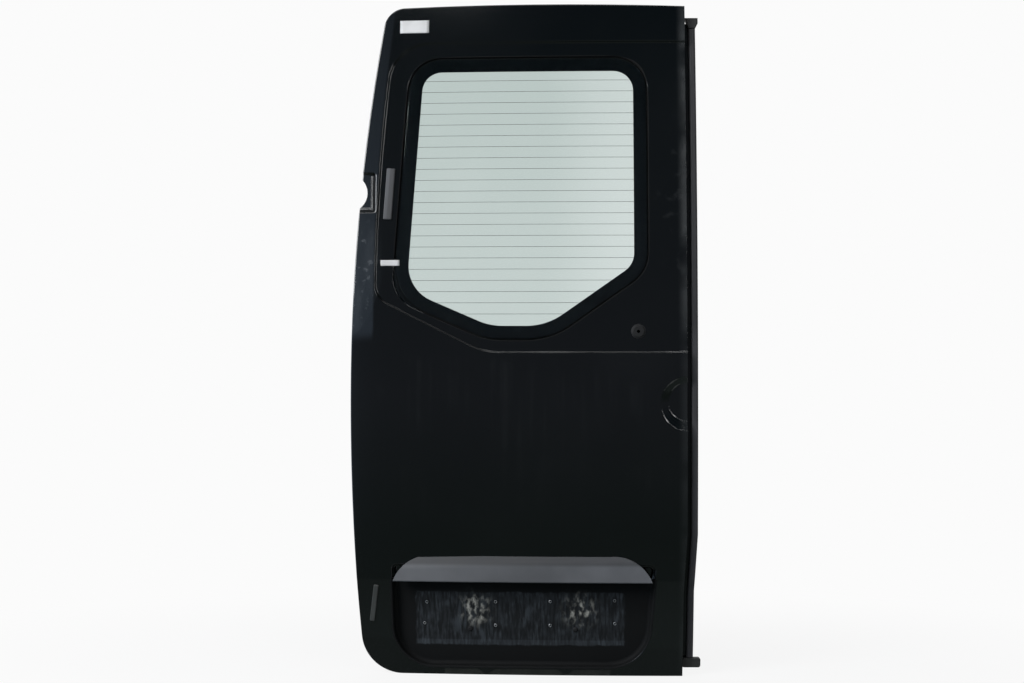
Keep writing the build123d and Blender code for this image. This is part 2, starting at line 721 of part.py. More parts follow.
# Number-plate lamp trim: a hooded moulding over the recess, with a lamp at each side under it
with BuildSketch(Plane.XZ) as trim_outline:
    with BuildLine():
        Polyline(
            (TRIM_LEFT + TRIM_END, TRIM_TOP),
            (TRIM_RIGHT - TRIM_END, TRIM_TOP),
        )
        ThreePointArc(
            (TRIM_RIGHT - TRIM_END, TRIM_TOP),
            (TRIM_RIGHT - TRIM_END / 2 + TRIM_END_BULGE, (TRIM_TOP + TRIM_BOTTOM) / 2 + TRIM_END_BULGE),
            (TRIM_RIGHT, TRIM_BOTTOM),
        )
        Line((TRIM_RIGHT, TRIM_BOTTOM), (TRIM_LEFT, TRIM_BOTTOM))
        ThreePointArc(
            (TRIM_LEFT, TRIM_BOTTOM),
            (TRIM_LEFT + TRIM_END / 2 - TRIM_END_BULGE, (TRIM_TOP + TRIM_BOTTOM) / 2 + TRIM_END_BULGE),
            (TRIM_LEFT + TRIM_END, TRIM_TOP),
        )
    make_face()
trim_height = TRIM_TOP - TRIM_BOTTOM
steep = degrees(atan(TRIM_CREASE_PROUD / TRIM_CREASE_DROP))
gentle = degrees(atan((TRIM_PROUD - TRIM_CREASE_PROUD) / (trim_height - TRIM_CREASE_DROP)))


def hood(inset):
    """The solid form of the trim, or the same form moved inwards."""
    with BuildPart() as form:
        extrude(grown(trim_outline.sketch, -inset), amount=REACH, both=True)
        add(leaning_ball(TRIM_TOP, SHEET - inset, steep), mode=Mode.INTERSECT)
        add(leaning_ball(TRIM_TOP - TRIM_CREASE_DROP, TRIM_CREASE_PROUD - inset, gentle), mode=Mode.INTERSECT)
    return form.part


def lamp_outline(x, play):
    """The outline of a lamp lens in the trim's underside, with play all round."""
    with BuildSketch(Plane.XY.offset(TRIM_BOTTOM + SEAT)) as outline:
        with Locations((x, face_y(x, TRIM_BOTTOM) - TRIM_PROUD / 2)):
            RectangleRounded(LAMP_LENGTH + 2 * play, LAMP_WIDTH + 2 * play, LAMP_CORNER + play)
    return outline.sketch


def on_ridge(edge):
    """Whether an edge is the trim's ridge, between its steep and its gentle face."""
    place = edge @ 0.5
    level = abs(place.Z - TRIM_TOP + TRIM_CREASE_DROP) < TRIM_CREASE_DROP / 2
    return level and edge.length > TRIM_RIGHT - TRIM_LEFT - 2 * TRIM_END


def on_lower_front(edge):
    """Whether an edge is the trim's lower front edge."""
    place = edge @ 0.5
    return abs(place.Z - TRIM_BOTTOM) < SEAT and depth_behind(place) < -TRIM_CREASE_PROUD


lamp_middle = (TRIM_LEFT + TRIM_RIGHT) / 2
lamp_places = (lamp_middle - LAMP_SPREAD / 2, lamp_middle + LAMP_SPREAD / 2)
with BuildPart() as plate_lamp_trim:
    add(hood(0))
    fillet(plate_lamp_trim.edges().filter_by(on_ridge), TRIM_RIDGE_ROUND)
    fillet(plate_lamp_trim.edges().filter_by(on_lower_front), TRIM_EDGE_ROUND)
    add(hood(TRIM_WALL), mode=Mode.SUBTRACT)
    add(bow(-SEAT), mode=Mode.SUBTRACT)
    for x in lamp_places:
        extrude(lamp_outline(x, SEAT), amount=2 * TRIM_WALL, both=True, mode=Mode.SUBTRACT)


# Stop pads on the outer face
def stop_pad(x, z, width, length, lean, floor):
    """A rubbing strip with a raised, rounded back."""
    with BuildSketch(Plane.XZ) as strip:
        with Locations(Location((x, z, 0), (0, 0, -lean))):
            RectangleRounded(width, length, PAD_CORNER)
    with BuildPart() as pad:
        back = floor - PAD_PROUD
        add(softened(slab(strip.sketch, back, floor - SEAT), back, PAD_ROUND))
    return pad


upper_stop_pad = stop_pad(
    UPPER_PAD_X, UPPER_PAD_Z, UPPER_PAD_WIDTH, UPPER_PAD_LENGTH, UPPER_PAD_LEAN, BAND_DEPTH
)
lower_stop_pad = stop_pad(LOWER_PAD_X, LOWER_PAD_Z, LOWER_PAD_WIDTH, LOWER_PAD_LENGTH, LOWER_PAD_LEAN, 0)


def turned_plug(plane, profile):
    """A round plug on a plane: its profile, as radius and height pairs, turned about the plane's normal."""
    with BuildPart() as plug:
        with BuildSketch(Plane(plane.origin, x_dir=plane.x_dir, z_dir=-plane.y_dir)):
            with BuildLine():
                Polyline(*profile, close=True)
            make_face()
        revolve(axis=Axis(plane.origin, plane.z_dir))
    return plug.part


# Rubber plug in the wiper hole
with BuildPart() as wiper_hole_plug:
    add(turned_plug(face_plane(PLUG_X, PLUG_Z, BAND_DEPTH), [
        (PLUG_BORE_RADIUS, PLUG_PROUD),
        (PLUG_STEM_RADIUS, PLUG_PROUD),
        (PLUG_RADIUS, PLUG_RIM),
        (PLUG_RADIUS, SEAT),
        (PLUG_STEM_RADIUS, SEAT),
        (PLUG_STEM_RADIUS, -PLUG_STEM),
        (PLUG_BORE_RADIUS, -PLUG_STEM),
    ]))

# Two plugs in the plate recess
with BuildPart() as plate_hole_plugs:
    for x in (HOLE_PLUG_LEFT, HOLE_PLUG_RIGHT):
        add(turned_plug(face_plane(x, HOLE_PLUG_Z, RECESS_DEPTH), [
            (0, HOLE_PLUG_PROUD),
            (HOLE_PLUG_FLAT, HOLE_PLUG_PROUD),
            (HOLE_PLUG_RADIUS, SEAT),
            (0, SEAT),
        ]))


def plate_lamp(x):
    """A lamp lens, let into the trim's underside."""
    with BuildPart() as lens:
        extrude(lamp_outline(x, 0), amount=LAMP_HEIGHT)
        fillet(lens.faces().sort_by(Axis.Z)[0].edges(), LAMP_ROUND)
    return lens


plate_lamp_left = plate_lamp(lamp_places[0])
plate_lamp_right = plate_lamp(lamp_places[1])

# Heater terminals on the inside of the pane, in the black border
side_lean = (CLEAR_TOP_LEFT - CLEAR_LEFT) / (CLEAR_TOP - CLEAR_LEFT_Z)
clear_left_there = CLEAR_LEFT + side_lean * (TERMINAL_Z - CLEAR_LEFT_Z)
with BuildPart() as heater_terminals:
    for x in (clear_left_there - TERMINAL_OFF, CLEAR_RIGHT + TERMINAL_OFF):
        tab = box_outline(x, TERMINAL_Z, TERMINAL_WIDTH, TERMINAL_LENGTH, TERMINAL_CORNER)
        add(slab(tab, pane_far + SEAT / 2, pane_far + TERMINAL_THICK))

# Bolts of the passive leaf: a lever on a bracket works two flat rods, each with its latch and bolt
rod_near = INNER_DEPTH + ROD_LIFT
rod_far = rod_near + ROD_THICK
seat_depth = INNER_DEPTH + SEAT
with BuildPart() as release_bracket:
    foot_plate = box_outline(ROD_X, LEVER_Z, BRACKET_WIDTH, BRACKET_HEIGHT, FITTING_CORNER)
    add(slab(foot_plate, seat_depth, seat_depth + SHEET))
    collar = box_outline(ROD_X, LEVER_Z, BRACKET_WIDTH / 2, BRACKET_HEIGHT / 2, FITTING_CORNER)
    add(slab(ring(collar, FITTING_WALL), seat_depth, rod_far))
with BuildPart() as release_lever:
    grasp = box_outline(ROD_X, LEVER_Z, LEVER_WIDTH, LEVER_LENGTH, LEVER_CORNER)
    lever_back = rod_far + LEVER_THICK
    add(softened(slab(grasp, rod_far + SEAT, lever_back), lever_back, LEVER_ROUND))
    inside = grown(grasp, -FITTING_WALL)
    add(slab(inside, rod_far - SHEET, lever_back - FITTING_WALL), mode=Mode.SUBTRACT)
    web = box_outline(ROD_X, LEVER_Z, ROD_WIDTH, BRACKET_HEIGHT / 2)
    add(slab(web, rod_far + SEAT, lever_back - SHEET))


def latch_rod(start, stop):
    """A flat bar that follows the inner face between two heights."""
    with BuildPart() as rod:
        add(slab(box_outline(ROD_X, (start + stop) / 2, ROD_WIDTH, abs(stop - start)), rod_near, rod_far))
    return rod


def latch(z, end):
    """A latch housing with a mouth for the bolt towards the door's end, up or down."""
    with BuildPart() as housing:
        case = box_outline(ROD_X, z, LATCH_WIDTH, LATCH_HEIGHT, FITTING_CORNER)
        lid = INNER_DEPTH + LATCH_THICK
        add(softened(slab(case, seat_depth, lid), lid, FITTING_ROUND))
        mouth = box_outline(ROD_X, z + end * MOUTH_DROP, BOLT_WIDTH + 2 * SEAT, LATCH_HEIGHT)
        add(slab(mouth, rod_near - SEAT, rod_far + BOLT_THICK + SEAT), mode=Mode.SUBTRACT)
    return housing


def bolt(z, end):
    """The sliding bolt of a latch, rounded at its nose."""
    with BuildPart() as bar:
        middle = z + end * (MOUTH_DROP + BOLT_OUT / 2)
        outline = box_outline(ROD_X, middle, BOLT_WIDTH, LATCH_HEIGHT - 2 * SEAT + BOLT_OUT, BOLT_CORNER)
        add(slab(outline, rod_near, rod_far + BOLT_THICK))
    return bar


upper_latch = latch(UPPER_LATCH_Z, 1)
lower_latch = latch(LOWER_LATCH_Z, -1)
upper_bolt = bolt(UPPER_LATCH_Z, 1)
lower_bolt = bolt(LOWER_LATCH_Z, -1)
upper_latch_rod = latch_rod(LEVER_Z + BRACKET_HEIGHT / 4 + SEAT, UPPER_LATCH_Z - LATCH_HEIGHT / 2 - SEAT)
lower_latch_rod = latch_rod(LEVER_Z - BRACKET_HEIGHT / 4 - SEAT, LOWER_LATCH_Z + LATCH_HEIGHT / 2 + SEAT)
with BuildPart() as rod_guides:
    for z in GUIDE_HEIGHTS:
        add(slab(box_outline(ROD_X, z, GUIDE_WIDTH, GUIDE_HEIGHT, SHEET), seat_depth, rod_far + FITTING_WALL))
        passage = box_outline(ROD_X, z, ROD_WIDTH + 2 * SEAT, 2 * GUIDE_HEIGHT)
        add(slab(passage, rod_near - SEAT, rod_far + SEAT), mode=Mode.SUBTRACT)

# Rubber buffers and blanking plugs on the inner face
buffer_profile = [
    (0, -SEAT),
    (BUFFER_RADIUS, -SEAT),
    (BUFFER_RADIUS, -BUFFER_COLLAR),
    (BUFFER_TIP_RADIUS, -BUFFER_HEIGHT),
    (0, -BUFFER_HEIGHT),
]
with BuildPart() as upper_bump_stop:
    add(turned_plug(face_plane(BUFFER_X, UPPER_BUFFER_Z, INNER_DEPTH), buffer_profile))
with BuildPart() as lower_bump_stop:
    add(turned_plug(face_plane(BUFFER_X, LOWER_BUFFER_Z, INNER_DEPTH), buffer_profile))
with BuildPart() as blanking_plugs:
    for x in BLANK_PLACES:
        add(turned_plug(face_plane(x, BLANK_Z, INNER_DEPTH), [
            (0, -SEAT),
            (BLANK_RADIUS, -SEAT),
            (BLANK_RADIUS, -BLANK_PROUD / 2),
            (BLANK_RADIUS - BLANK_PROUD, -BLANK_PROUD),
            (0, -BLANK_PROUD),
        ]))

# Rubber gland of the wiring, in the hinge side
with BuildPart() as harness_gland:
    add(turned_plug(gland_plane, [
        (GLAND_BORE_RADIUS, SEAT),
        (GLAND_RADIUS, SEAT),
        (GLAND_RADIUS, GLAND_COLLAR),
        (GLAND_NECK_RADIUS, GLAND_COLLAR),
        (GLAND_BORE_RADIUS + SHEET, GLAND_LENGTH),
        (GLAND_BORE_RADIUS, GLAND_LENGTH),
    ]))

os.makedirs("parts", exist_ok=True)
for name, piece in {
    "outer_skin": outer_skin,
    "inner_panel": inner_panel,
    "upper_hinge_plate": upper_hinge_plate,
    "lower_hinge_plate": lower_hinge_plate,
    "window_glass": window_glass,
    "window_bond_bead": window_bond_bead,
    "heater_terminals": heater_terminals,
    "waist_beam": waist_beam,
    "lining_board": lining_board,
    "seal_carrier": seal_carrier,
    "centre_seal": centre_seal,
    "seal_top_cap": seal_top_cap,
    "seal_foot": seal_foot,
    "plate_lamp_trim": plate_lamp_trim,
    "plate_lamp_left": plate_lamp_left,
    "plate_lamp_right": plate_lamp_right,
    "plate_hole_plugs": plate_hole_plugs,
    "upper_stop_pad": upper_stop_pad,
    "lower_stop_pad": lower_stop_pad,
    "wiper_hole_plug": wiper_hole_plug,
    "release_bracket": release_bracket,
    "release_lever": release_lever,
    "upper_latch_rod": upper_latch_rod,
    "lower_latch_rod": lower_latch_rod,
    "rod_guides": rod_guides,
    "upper_latch": upper_latch,
    "lower_latch": lower_latch,
    "upper_bolt": upper_bolt,
    "lower_bolt": lower_bolt,
    "upper_bump_stop": upper_bump_stop,
    "lower_bump_stop": lower_bump_stop,
    "blanking_plugs": blanking_plugs,
    "harness_gland": harness_gland,
}.items():
    piece.part.label = name
    export_step(piece.part, f"parts/{name}.step")
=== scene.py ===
# %% [markdown]
# This lesson dresses one loose rear barn door leaf of a campervan. The CAD model gives every rigid
# piece its true shape and place, so the script starts by loading that model as a fixed frame. What
# follows adds the finishes, and the thin things that CAD leaves out: heating lines, a printed
# border, blank labels and dust.

# %% Load the frame
import math

import bmesh
import bpy
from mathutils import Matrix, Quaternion, Vector


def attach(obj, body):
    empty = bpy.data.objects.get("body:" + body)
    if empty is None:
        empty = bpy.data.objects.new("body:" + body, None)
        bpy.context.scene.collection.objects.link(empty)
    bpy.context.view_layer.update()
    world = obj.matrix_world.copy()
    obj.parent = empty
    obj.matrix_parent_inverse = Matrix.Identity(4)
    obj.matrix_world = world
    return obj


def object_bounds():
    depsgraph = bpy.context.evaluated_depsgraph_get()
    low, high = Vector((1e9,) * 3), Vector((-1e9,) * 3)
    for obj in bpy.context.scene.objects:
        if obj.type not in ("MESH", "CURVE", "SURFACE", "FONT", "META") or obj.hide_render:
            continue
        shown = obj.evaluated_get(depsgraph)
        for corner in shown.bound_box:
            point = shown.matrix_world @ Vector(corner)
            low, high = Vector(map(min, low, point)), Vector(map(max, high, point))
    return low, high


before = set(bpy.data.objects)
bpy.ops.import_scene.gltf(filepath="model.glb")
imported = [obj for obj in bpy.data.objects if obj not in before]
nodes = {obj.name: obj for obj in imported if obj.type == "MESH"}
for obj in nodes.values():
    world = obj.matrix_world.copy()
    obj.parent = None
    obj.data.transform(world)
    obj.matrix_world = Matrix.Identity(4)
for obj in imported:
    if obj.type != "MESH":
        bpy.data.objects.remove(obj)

cad_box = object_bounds()
print("nodes in the frame:", len(nodes))

# %% [markdown]
# The door's outer face is a very shallow ball, bent once more below a crease. Everything that lies
# on the face needs its height, so the two balls are written down once, as they are in the CAD
# model, but in metres.

# %% The bow of the outer face
BOW_RADIUS = 6.600
FACE_AHEAD = 0.113
CREST = Vector((0.793, BOW_RADIUS - FACE_AHEAD, -0.596))
CREASE_Z = -0.974
LOWER_TILT = math.radians(8)
crease_reach = math.sqrt(BOW_RADIUS**2 - (CREST.z - CREASE_Z) ** 2)
LOWER_CREST = Vector((CREST.x, CREST.y, CREASE_Z + crease_reach * math.tan(LOWER_TILT)))
lower_radius = math.hypot(crease_reach, LOWER_CREST.z - CREASE_Z)


def on_face(x, z, depth=0.0):
    """The place on the outer face at x and z, or a depth behind it."""
    centre, radius = (CREST, BOW_RADIUS) if z > CREASE_Z else (LOWER_CREST, lower_radius)
    flat = math.sqrt(radius**2 - (x - centre.x) ** 2 - (z - centre.z) ** 2)
    place = Vector((x, centre.y - flat, z))
    return place + (centre - place).normalized() * depth


print("face beside the origin:", [round(v, 4) for v in on_face(0, 0)])

# %% [markdown]
# The photograph was taken square on, from a good four metres away, with the lens about half-way up
# the door. A camera is described by its place and its lens, so both are worked out from one scale:
# how wide a picture element is at the nearest part of the face.

# %% Camera
PICTURE_WIDTH = 1024
ELEMENT = 0.002483
LENS_AWAY = 4.3
EYE = Vector((0.3561, -FACE_AHEAD - LENS_AWAY, -0.3765))
scene = bpy.context.scene
camera_data = bpy.data.cameras.new("camera")
camera_data.sensor_width = 36
camera_data.lens = camera_data.sensor_width * LENS_AWAY / (PICTURE_WIDTH * ELEMENT)
camera = bpy.data.objects.new("camera", camera_data)
camera.location = EYE
camera.rotation_euler = (math.radians(90), 0, 0)
scene.collection.objects.link(camera)
scene.camera = camera
scene.view_settings.view_transform = "Standard"
print("lens:", round(camera_data.lens, 1), "mm")

# %% [markdown]
# Shader nodes are easier to read as sums than as boxes and wires. One small class holds a socket:
# adding or multiplying two of them makes the Math node in between, and one method makes any other
# node.

# %% Sockets as values


class Wire:
    """A socket of a node tree that can be used in Python expressions."""

    def __init__(self, tree, socket=None):
        self.tree = tree
        self.socket = socket

    def node(self, kind, settings=None, sockets=None, output=0):
        """Adds a node: its settings first, then the values or links of its sockets."""
        made = self.tree.nodes.new(kind)
        for name, value in (settings or {}).items():
            if name == "stops":
                self.set_stops(made.color_ramp, value)
            else:
                setattr(made, name, value)
        for name, value in (sockets or {}).items():
            if isinstance(value, Wire):
                self.tree.links.new(value.socket, made.inputs[name])
            else:
                made.inputs[name].default_value = value
        return Wire(self.tree, made.outputs[output] if made.outputs else None)

    @staticmethod
    def set_stops(ramp, stops):
        """Gives a colour ramp its stops, as pairs of place and colour."""
        while len(ramp.elements) < len(stops):
            ramp.elements.new(1)
        for element, (place, colour) in zip(ramp.elements, stops):
            element.position = place
            element.color = colour

    def math(self, operation, *others):
        return self.node("ShaderNodeMath", {"operation": operation}, dict(enumerate((self, *others))))

    def __add__(self, other):
        return self.math("ADD", other)

    __radd__ = __add__

    def __sub__(self, other):
        return self.math("SUBTRACT", other)

    def __rsub__(self, other):
        return self.node("ShaderNodeMath", {"operation": "SUBTRACT"}, {0: other, 1: self})

    def __mul__(self, other):
        return self.math("MULTIPLY", other)

    __rmul__ = __mul__

    def __truediv__(self, other):
        return self.math("DIVIDE", other)

    def ease(self, start, stop):
        """0 up to start and 1 from stop on, smooth between; start may be the larger."""
        low, high = min(start, stop), max(start, stop)
        sockets = {"Value": self, "From Min": low, "From Max": high}
        rising = self.node("ShaderNodeMapRange", {"interpolation_type": "SMOOTHSTEP"}, sockets)
        return rising if start < stop else 1 - rising

    def between(self, start, stop, soft):
        """1 from start to stop, and 0 beyond a soft edge outside them."""
        return self.ease(start - soft, start) * self.ease(stop + soft, stop)

    def vector(self, operation, other):
        return self.node("ShaderNodeVectorMath", {"operation": operation}, {0: self, 1: other})

    def unit(self):
        """The same direction with a length of 1."""
        return self.node("ShaderNodeVectorMath", {"operation": "NORMALIZE"}, {0: self})

    def spot(self, centre, size):
        """1 at a place and 0 beyond an ellipse around it; a size of 0 leaves that axis out."""
        shrink = tuple(1 / axis if axis else 0 for axis in size)
        away = self.vector("SUBTRACT", centre).vector("MULTIPLY", shrink)
        length = away.node("ShaderNodeVectorMath", {"operation": "LENGTH"}, {0: away}, 1)
        return length.ease(1.0, 0.2)

    def part(self, axis):
        """One number of a vector: 0, 1 or 2."""
        return self.node("ShaderNodeSeparateXYZ", None, {"Vector": self}, axis)

    def noise(self, scale, detail=2.0, stretch=(1, 1, 1)):
        """A soft random pattern at a place; a larger stretch number makes it finer along that axis."""
        sockets = {"Vector": self.vector("MULTIPLY", stretch), "Scale": scale, "Detail": detail}
        return self.node("ShaderNodeTexNoise", None, sockets)


def blend(factor, first, second):
    """Mixes two colours by a wire."""
    sockets = {"Factor": factor, 6: first, 7: second}
    return factor.node("ShaderNodeMix", {"data_type": "RGBA"}, sockets, 2)


def finish_of(name, build):
    """A material whose shader is made by a function from the place on the piece."""
    made = bpy.data.materials.new(name)
    made.use_nodes = True
    made.node_tree.nodes.clear()
    start = Wire(made.node_tree)
    shader = build(start.node("ShaderNodeTexCoord", None, None, 3))
    start.node("ShaderNodeOutputMaterial", None, {"Surface": shader})
    return made


def surface(place, **sockets):
    """The Principled shader, with sockets named in lower case."""
    named = {}
    for name, value in sockets.items():
        named[name.replace("_", " ").title().replace("Ior", "IOR")] = value
    return place.node("ShaderNodeBsdfPrincipled", None, named)


def dress(material, *names):
    """Gives CAD nodes a material in all their slots."""
    for name in names:
        mesh = nodes[name].data
        mesh.materials.clear()
        mesh.materials.append(material)
    print(material.name, "on", ", ".join(names))


# %% [markdown]
# The paint is black under a clear coat, so it shows little but what it mirrors. The CAD mesh is
# made of facets, and a mirror shows every facet. On the bowed face the exact direction of the
# surface is known, so the shader works it out from the ball's centre. Only where the mesh turns
# away from the ball, at a step or a rim, does the shader fall back on the mesh, with its corners
# rounded by a Bevel node. In two places the photograph shows more than the mesh has, so there the
# direction is bent: the margin beside the window step leans to the left, and a soft fold in the
# hinge pocket shows a second bright line.

# %% Paint
ROUNDING = 0.002
MARGIN_LEAN = 0.075
FOLD_LEAN = (-0.31, 0.17)
POCKET_DEPTH = 0.009
POCKET_RIGHT = 0.011
POCKET_TOP = 0.048
POCKET_BOTTOM = -0.050
BLACK = (0.0013, 0.0017, 0.0020, 1)
STEP_MIDDLE_X = 0.0235
STEP_MIDDLE_Z = 0.058
STEP_HALF_HEIGHT = 0.324
STEP_SLANT = 0.0215
STEP_BEND = 0.009
MARGIN_FOOT = (-0.385, -0.335)
FOLD_NEAR = 0.0082
FOLD_FAR = 0.0106
SAME_DIRECTION = (0.9972, 0.9995)


def margin_share(place):
    """0 right of the window band's left step, rising to 1 on the margin beside it."""
    height = (place.part(2) - STEP_MIDDLE_Z) / STEP_HALF_HEIGHT
    step_x = height * height * STEP_BEND + height * STEP_SLANT + STEP_MIDDLE_X
    return (step_x - place.part(0)).ease(-0.001, 0.010)


def depth_behind(place, centre, radius):
    """How far a place lies behind one of the two balls of the outer face."""
    away = place.node("ShaderNodeVectorMath", {"operation": "DISTANCE"}, {0: place, 1: centre}, 1)
    return radius - away


def pocket_reach(place):
    """How far a place lies inside the right and lower sides of the hinge pocket."""
    return (POCKET_RIGHT - place.part(0)).math("MINIMUM", place.part(2) - POCKET_BOTTOM)


def pocket_fold(place):
    """1 along the soft fold that runs inside the hinge pocket beside its walls."""
    depth = depth_behind(place, CREST, BOW_RADIUS)
    on_floor = depth.ease(POCKET_DEPTH - 0.0007, POCKET_DEPTH - 0.0004)
    below_top = place.part(2).ease(POCKET_TOP - 0.006, POCKET_TOP - 0.008)
    return pocket_reach(place).between(FOLD_NEAR, FOLD_FAR, 0.0012) * below_top * on_floor


def true_bow(place):
    """The direction of the paint's surface, exact on the bow and rounded at the corners."""
    low = place.part(2).math("LESS_THAN", CREASE_Z)
    centre_z = low * (LOWER_CREST.z - CREST.z) + CREST.z
    centre = place.node("ShaderNodeCombineXYZ", None, {"X": CREST.x, "Y": CREST.y, "Z": centre_z})
    bow = place.vector("SUBTRACT", centre).unit()
    fold = pocket_fold(place)
    rolled = margin_share(place) * place.part(2).ease(*MARGIN_FOOT) * -MARGIN_LEAN
    turned = {"X": rolled + fold * FOLD_LEAN[0], "Z": fold * FOLD_LEAN[1]}
    leaning = bow.vector("ADD", place.node("ShaderNodeCombineXYZ", None, turned)).unit()
    rounded = place.node("ShaderNodeBevel", {"samples": 8}, {"Radius": ROUNDING})
    agree = place.node("ShaderNodeVectorMath", {"operation": "DOT_PRODUCT"}, {0: bow, 1: rounded}, 1)
    sockets = {"Factor": agree.ease(*SAME_DIRECTION), 4: rounded, 5: leaning}
    return place.node("ShaderNodeMix", {"data_type": "VECTOR"}, sockets, 1)


def painted(place, colour, dust, dull):
    """Paint of a colour under clear coat, dulled by dust; dull is the share without any shine."""
    facing = true_bow(place)
    shiny = surface(
        place,
        base_color=colour,
        roughness=dust.math("MINIMUM", 0.8) + 0.10,
        coat_weight=1 - dust.math("MINIMUM", 1.0),
        coat_roughness=0.03,
        ior=1.45,
        normal=facing,
    )
    worn = surface(
        place, base_color=colour, roughness=0.75, specular_ior_level=0.2, normal=facing
    )
    return place.node("ShaderNodeMixShader", None, {0: dull, 1: shiny, 2: worn})


# %% [markdown]
# Dust is never even. On the upright panel there is a thin haze, streaks that rain has drawn below
# the window step, cloudy spots by the closing edge, and a smear by the hinge side where a cloth has
# wiped.

# %% Dust on the panel
GREY_DUST = (0.20, 0.21, 0.215, 1)
BLUE_DUST = (0.155, 0.183, 0.215, 1)
LEDGE_Z = -0.403
HAZE = 0.008
LEAST_HAZE = 0.001
STREAKS = 0.022
SAGGED = 0.010
CLOUDS = 0.040
EDGE_DUST = 0.06
HIGH_EDGE_DUST = 0.10
WIPED = 0.070
DRIED_DROPS = 0.11
LEAST_FILM = 0.015


def panel_dust(place):
    """The share of grey dust on the upright panel."""
    x, z = place.part(0), place.part(2)
    haze = place.noise(3.0, 4).ease(0.35, 0.8) * HAZE + LEAST_HAZE
    rain = place.noise(1.0, 3, (48, 48, 2.2)).ease(0.48, 0.80) * place.noise(6, 2).ease(0.42, 0.62)
    below_ledge = z.ease(-0.95, -0.45) * z.ease(LEDGE_Z, LEDGE_Z - 0.03) * x.between(0.05, 0.74, 0.08)
    streaks = rain * below_ledge * STREAKS
    hanging = place.spot((0.66, 0, LEDGE_Z - 0.01), (0.16, 0, 0.10)) * z.ease(LEDGE_Z + 0.004, LEDGE_Z)
    sagged = hanging * SAGGED
    drops = place.noise(38, 2).ease(0.56, 0.74)
    cloudy = drops * place.spot((0.775, 0, -0.05), (0.075, 0, 0.30)) * CLOUDS
    by_height = z.ease(-0.45, -0.30) * HIGH_EDGE_DUST + EDGE_DUST
    closing_edge = x.ease(0.768, 0.790) * place.noise(9, 3).ease(0.25, 0.6) * by_height
    return haze + streaks + sagged + cloudy + closing_edge


def wiped_smear(place):
    """The share of bluish film on the hinge side, with a curved lower edge and dried drops."""
    x, z = place.part(0), place.part(2)
    lower_edge = (x + 0.05) * (x + 0.05) * 22 - 0.365
    area = (z - lower_edge).ease(0.0, 0.012) * z.ease(-0.02, -0.14) * x.ease(0.035, 0.0)
    wipe = place.noise(1.0, 4, (26, 26, 7)).ease(0.3, 0.75)
    drops = place.noise(70, 2).ease(0.58, 0.72)
    return area * (wipe * WIPED + drops * DRIED_DROPS + LEAST_FILM)


# %% [markdown]
# In the recess a number-plate holder has left its print: dirt that ran down behind it in fine
# streaks, and two pale patches where old adhesive still sticks. Noise that is stretched far along
# one axis makes streaks, and a soft ellipse keeps each patch in its place.

# %% Print of the plate holder
PLATE_LEFT = 0.116
PLATE_RIGHT = 0.637
PLATE_TOP = -1.009
PLATE_BOTTOM = -1.141
RECESS_DEPTH = 0.022
PATCHES = ((0.262, -1.050), (0.527, -1.052))
PATCH_SIZE = (0.066, 0, 0.068)
ADHESIVE = (0.70, 0.69, 0.62, 1)
ADHESIVE_SHARE = 0.62


def on_recess_floor(place):
    """1 on the floor of the plate recess."""
    depth = depth_behind(place, LOWER_CREST, lower_radius)
    return depth.ease(RECESS_DEPTH - 0.0045, RECESS_DEPTH - 0.0015)


def plate_print(place):
    """The share of bluish dirt in the print of the plate holder."""
    x, z = place.part(0), place.part(2)
    ragged = place.noise(45, 3) * 0.012 - 0.006
    across = (x + ragged).between(PLATE_LEFT, PLATE_RIGHT, 0.004)
    inside = across * (z + ragged).between(PLATE_BOTTOM, PLATE_TOP, 0.004)
    runs = place.noise(1.0, 4, (170, 170, 3.5)).ease(0.36, 0.66)
    blots = place.noise(34, 4).ease(0.38, 0.68)
    foot = z.between(PLATE_BOTTOM, PLATE_BOTTOM + 0.010, 0.003) * 0.06
    return inside * on_recess_floor(place) * (runs * (blots * 0.11 + 0.065) + foot + 0.024)


def old_adhesive(place):
    """The share of pale adhesive in the two patches."""
    clots = place.noise(62, 6, (1.2, 1, 0.7)).ease(0.40, 0.70)
    share = None
    for x, z in PATCHES:
        near = place.spot((x, 0, z), PATCH_SIZE)
        share = near if share is None else share.math("MAXIMUM", near)
    return share * share * clots * clots * on_recess_floor(place) * ADHESIVE_SHARE


# %% [markdown]
# Below the recess the folded lip is paler in a band. Its upper border is not straight: it dips twice.

# %% Paler band on the lower lip
LIP_LEFT = 0.190
LIP_RIGHT = 0.600
LIP_TOP = -1.2005
LIP_DIPS = (0.292, 0.492)
DIP_HALF = 0.024
DIP_DEPTH = 0.012
LIP_PALE_TONE = (0.17, 0.17, 0.15, 1)
LIP_SHARE = 0.09


def pale_lip_band(place):
    """The share of the paler colour on the lip under the recess."""
    x, z = place.part(0), place.part(2)
    dip = None
    for middle in LIP_DIPS:
        near = (x - middle).math("ABSOLUTE").ease(DIP_HALF, 0.002)
        dip = near if dip is None else dip + near
    border = LIP_TOP - dip * DIP_DEPTH
    cloud = place.noise(30, 3).ease(0.2, 0.8) * 0.5 + 0.5
    along = x.between(LIP_LEFT, LIP_RIGHT, 0.006)
    return (border - z).ease(0.0, 0.003) * along * cloud * LIP_SHARE


# %% [markdown]
# Inside the recess the paint has lost its shine. The recess is a rectangle with slanted sides and
# round lower corners, and a share of 1 inside it is worked out as the distance from a smaller one
# with sharp corners.

# %% Area of the plate recess
RECESS_TOP = -0.936
RECESS_BOTTOM = -1.194
RECESS_CORNER = 0.102
TOP_EDGES = (0.055, 0.713)
BOTTOM_EDGES = (0.062, 0.694)
TRIM_FOOT = -0.972


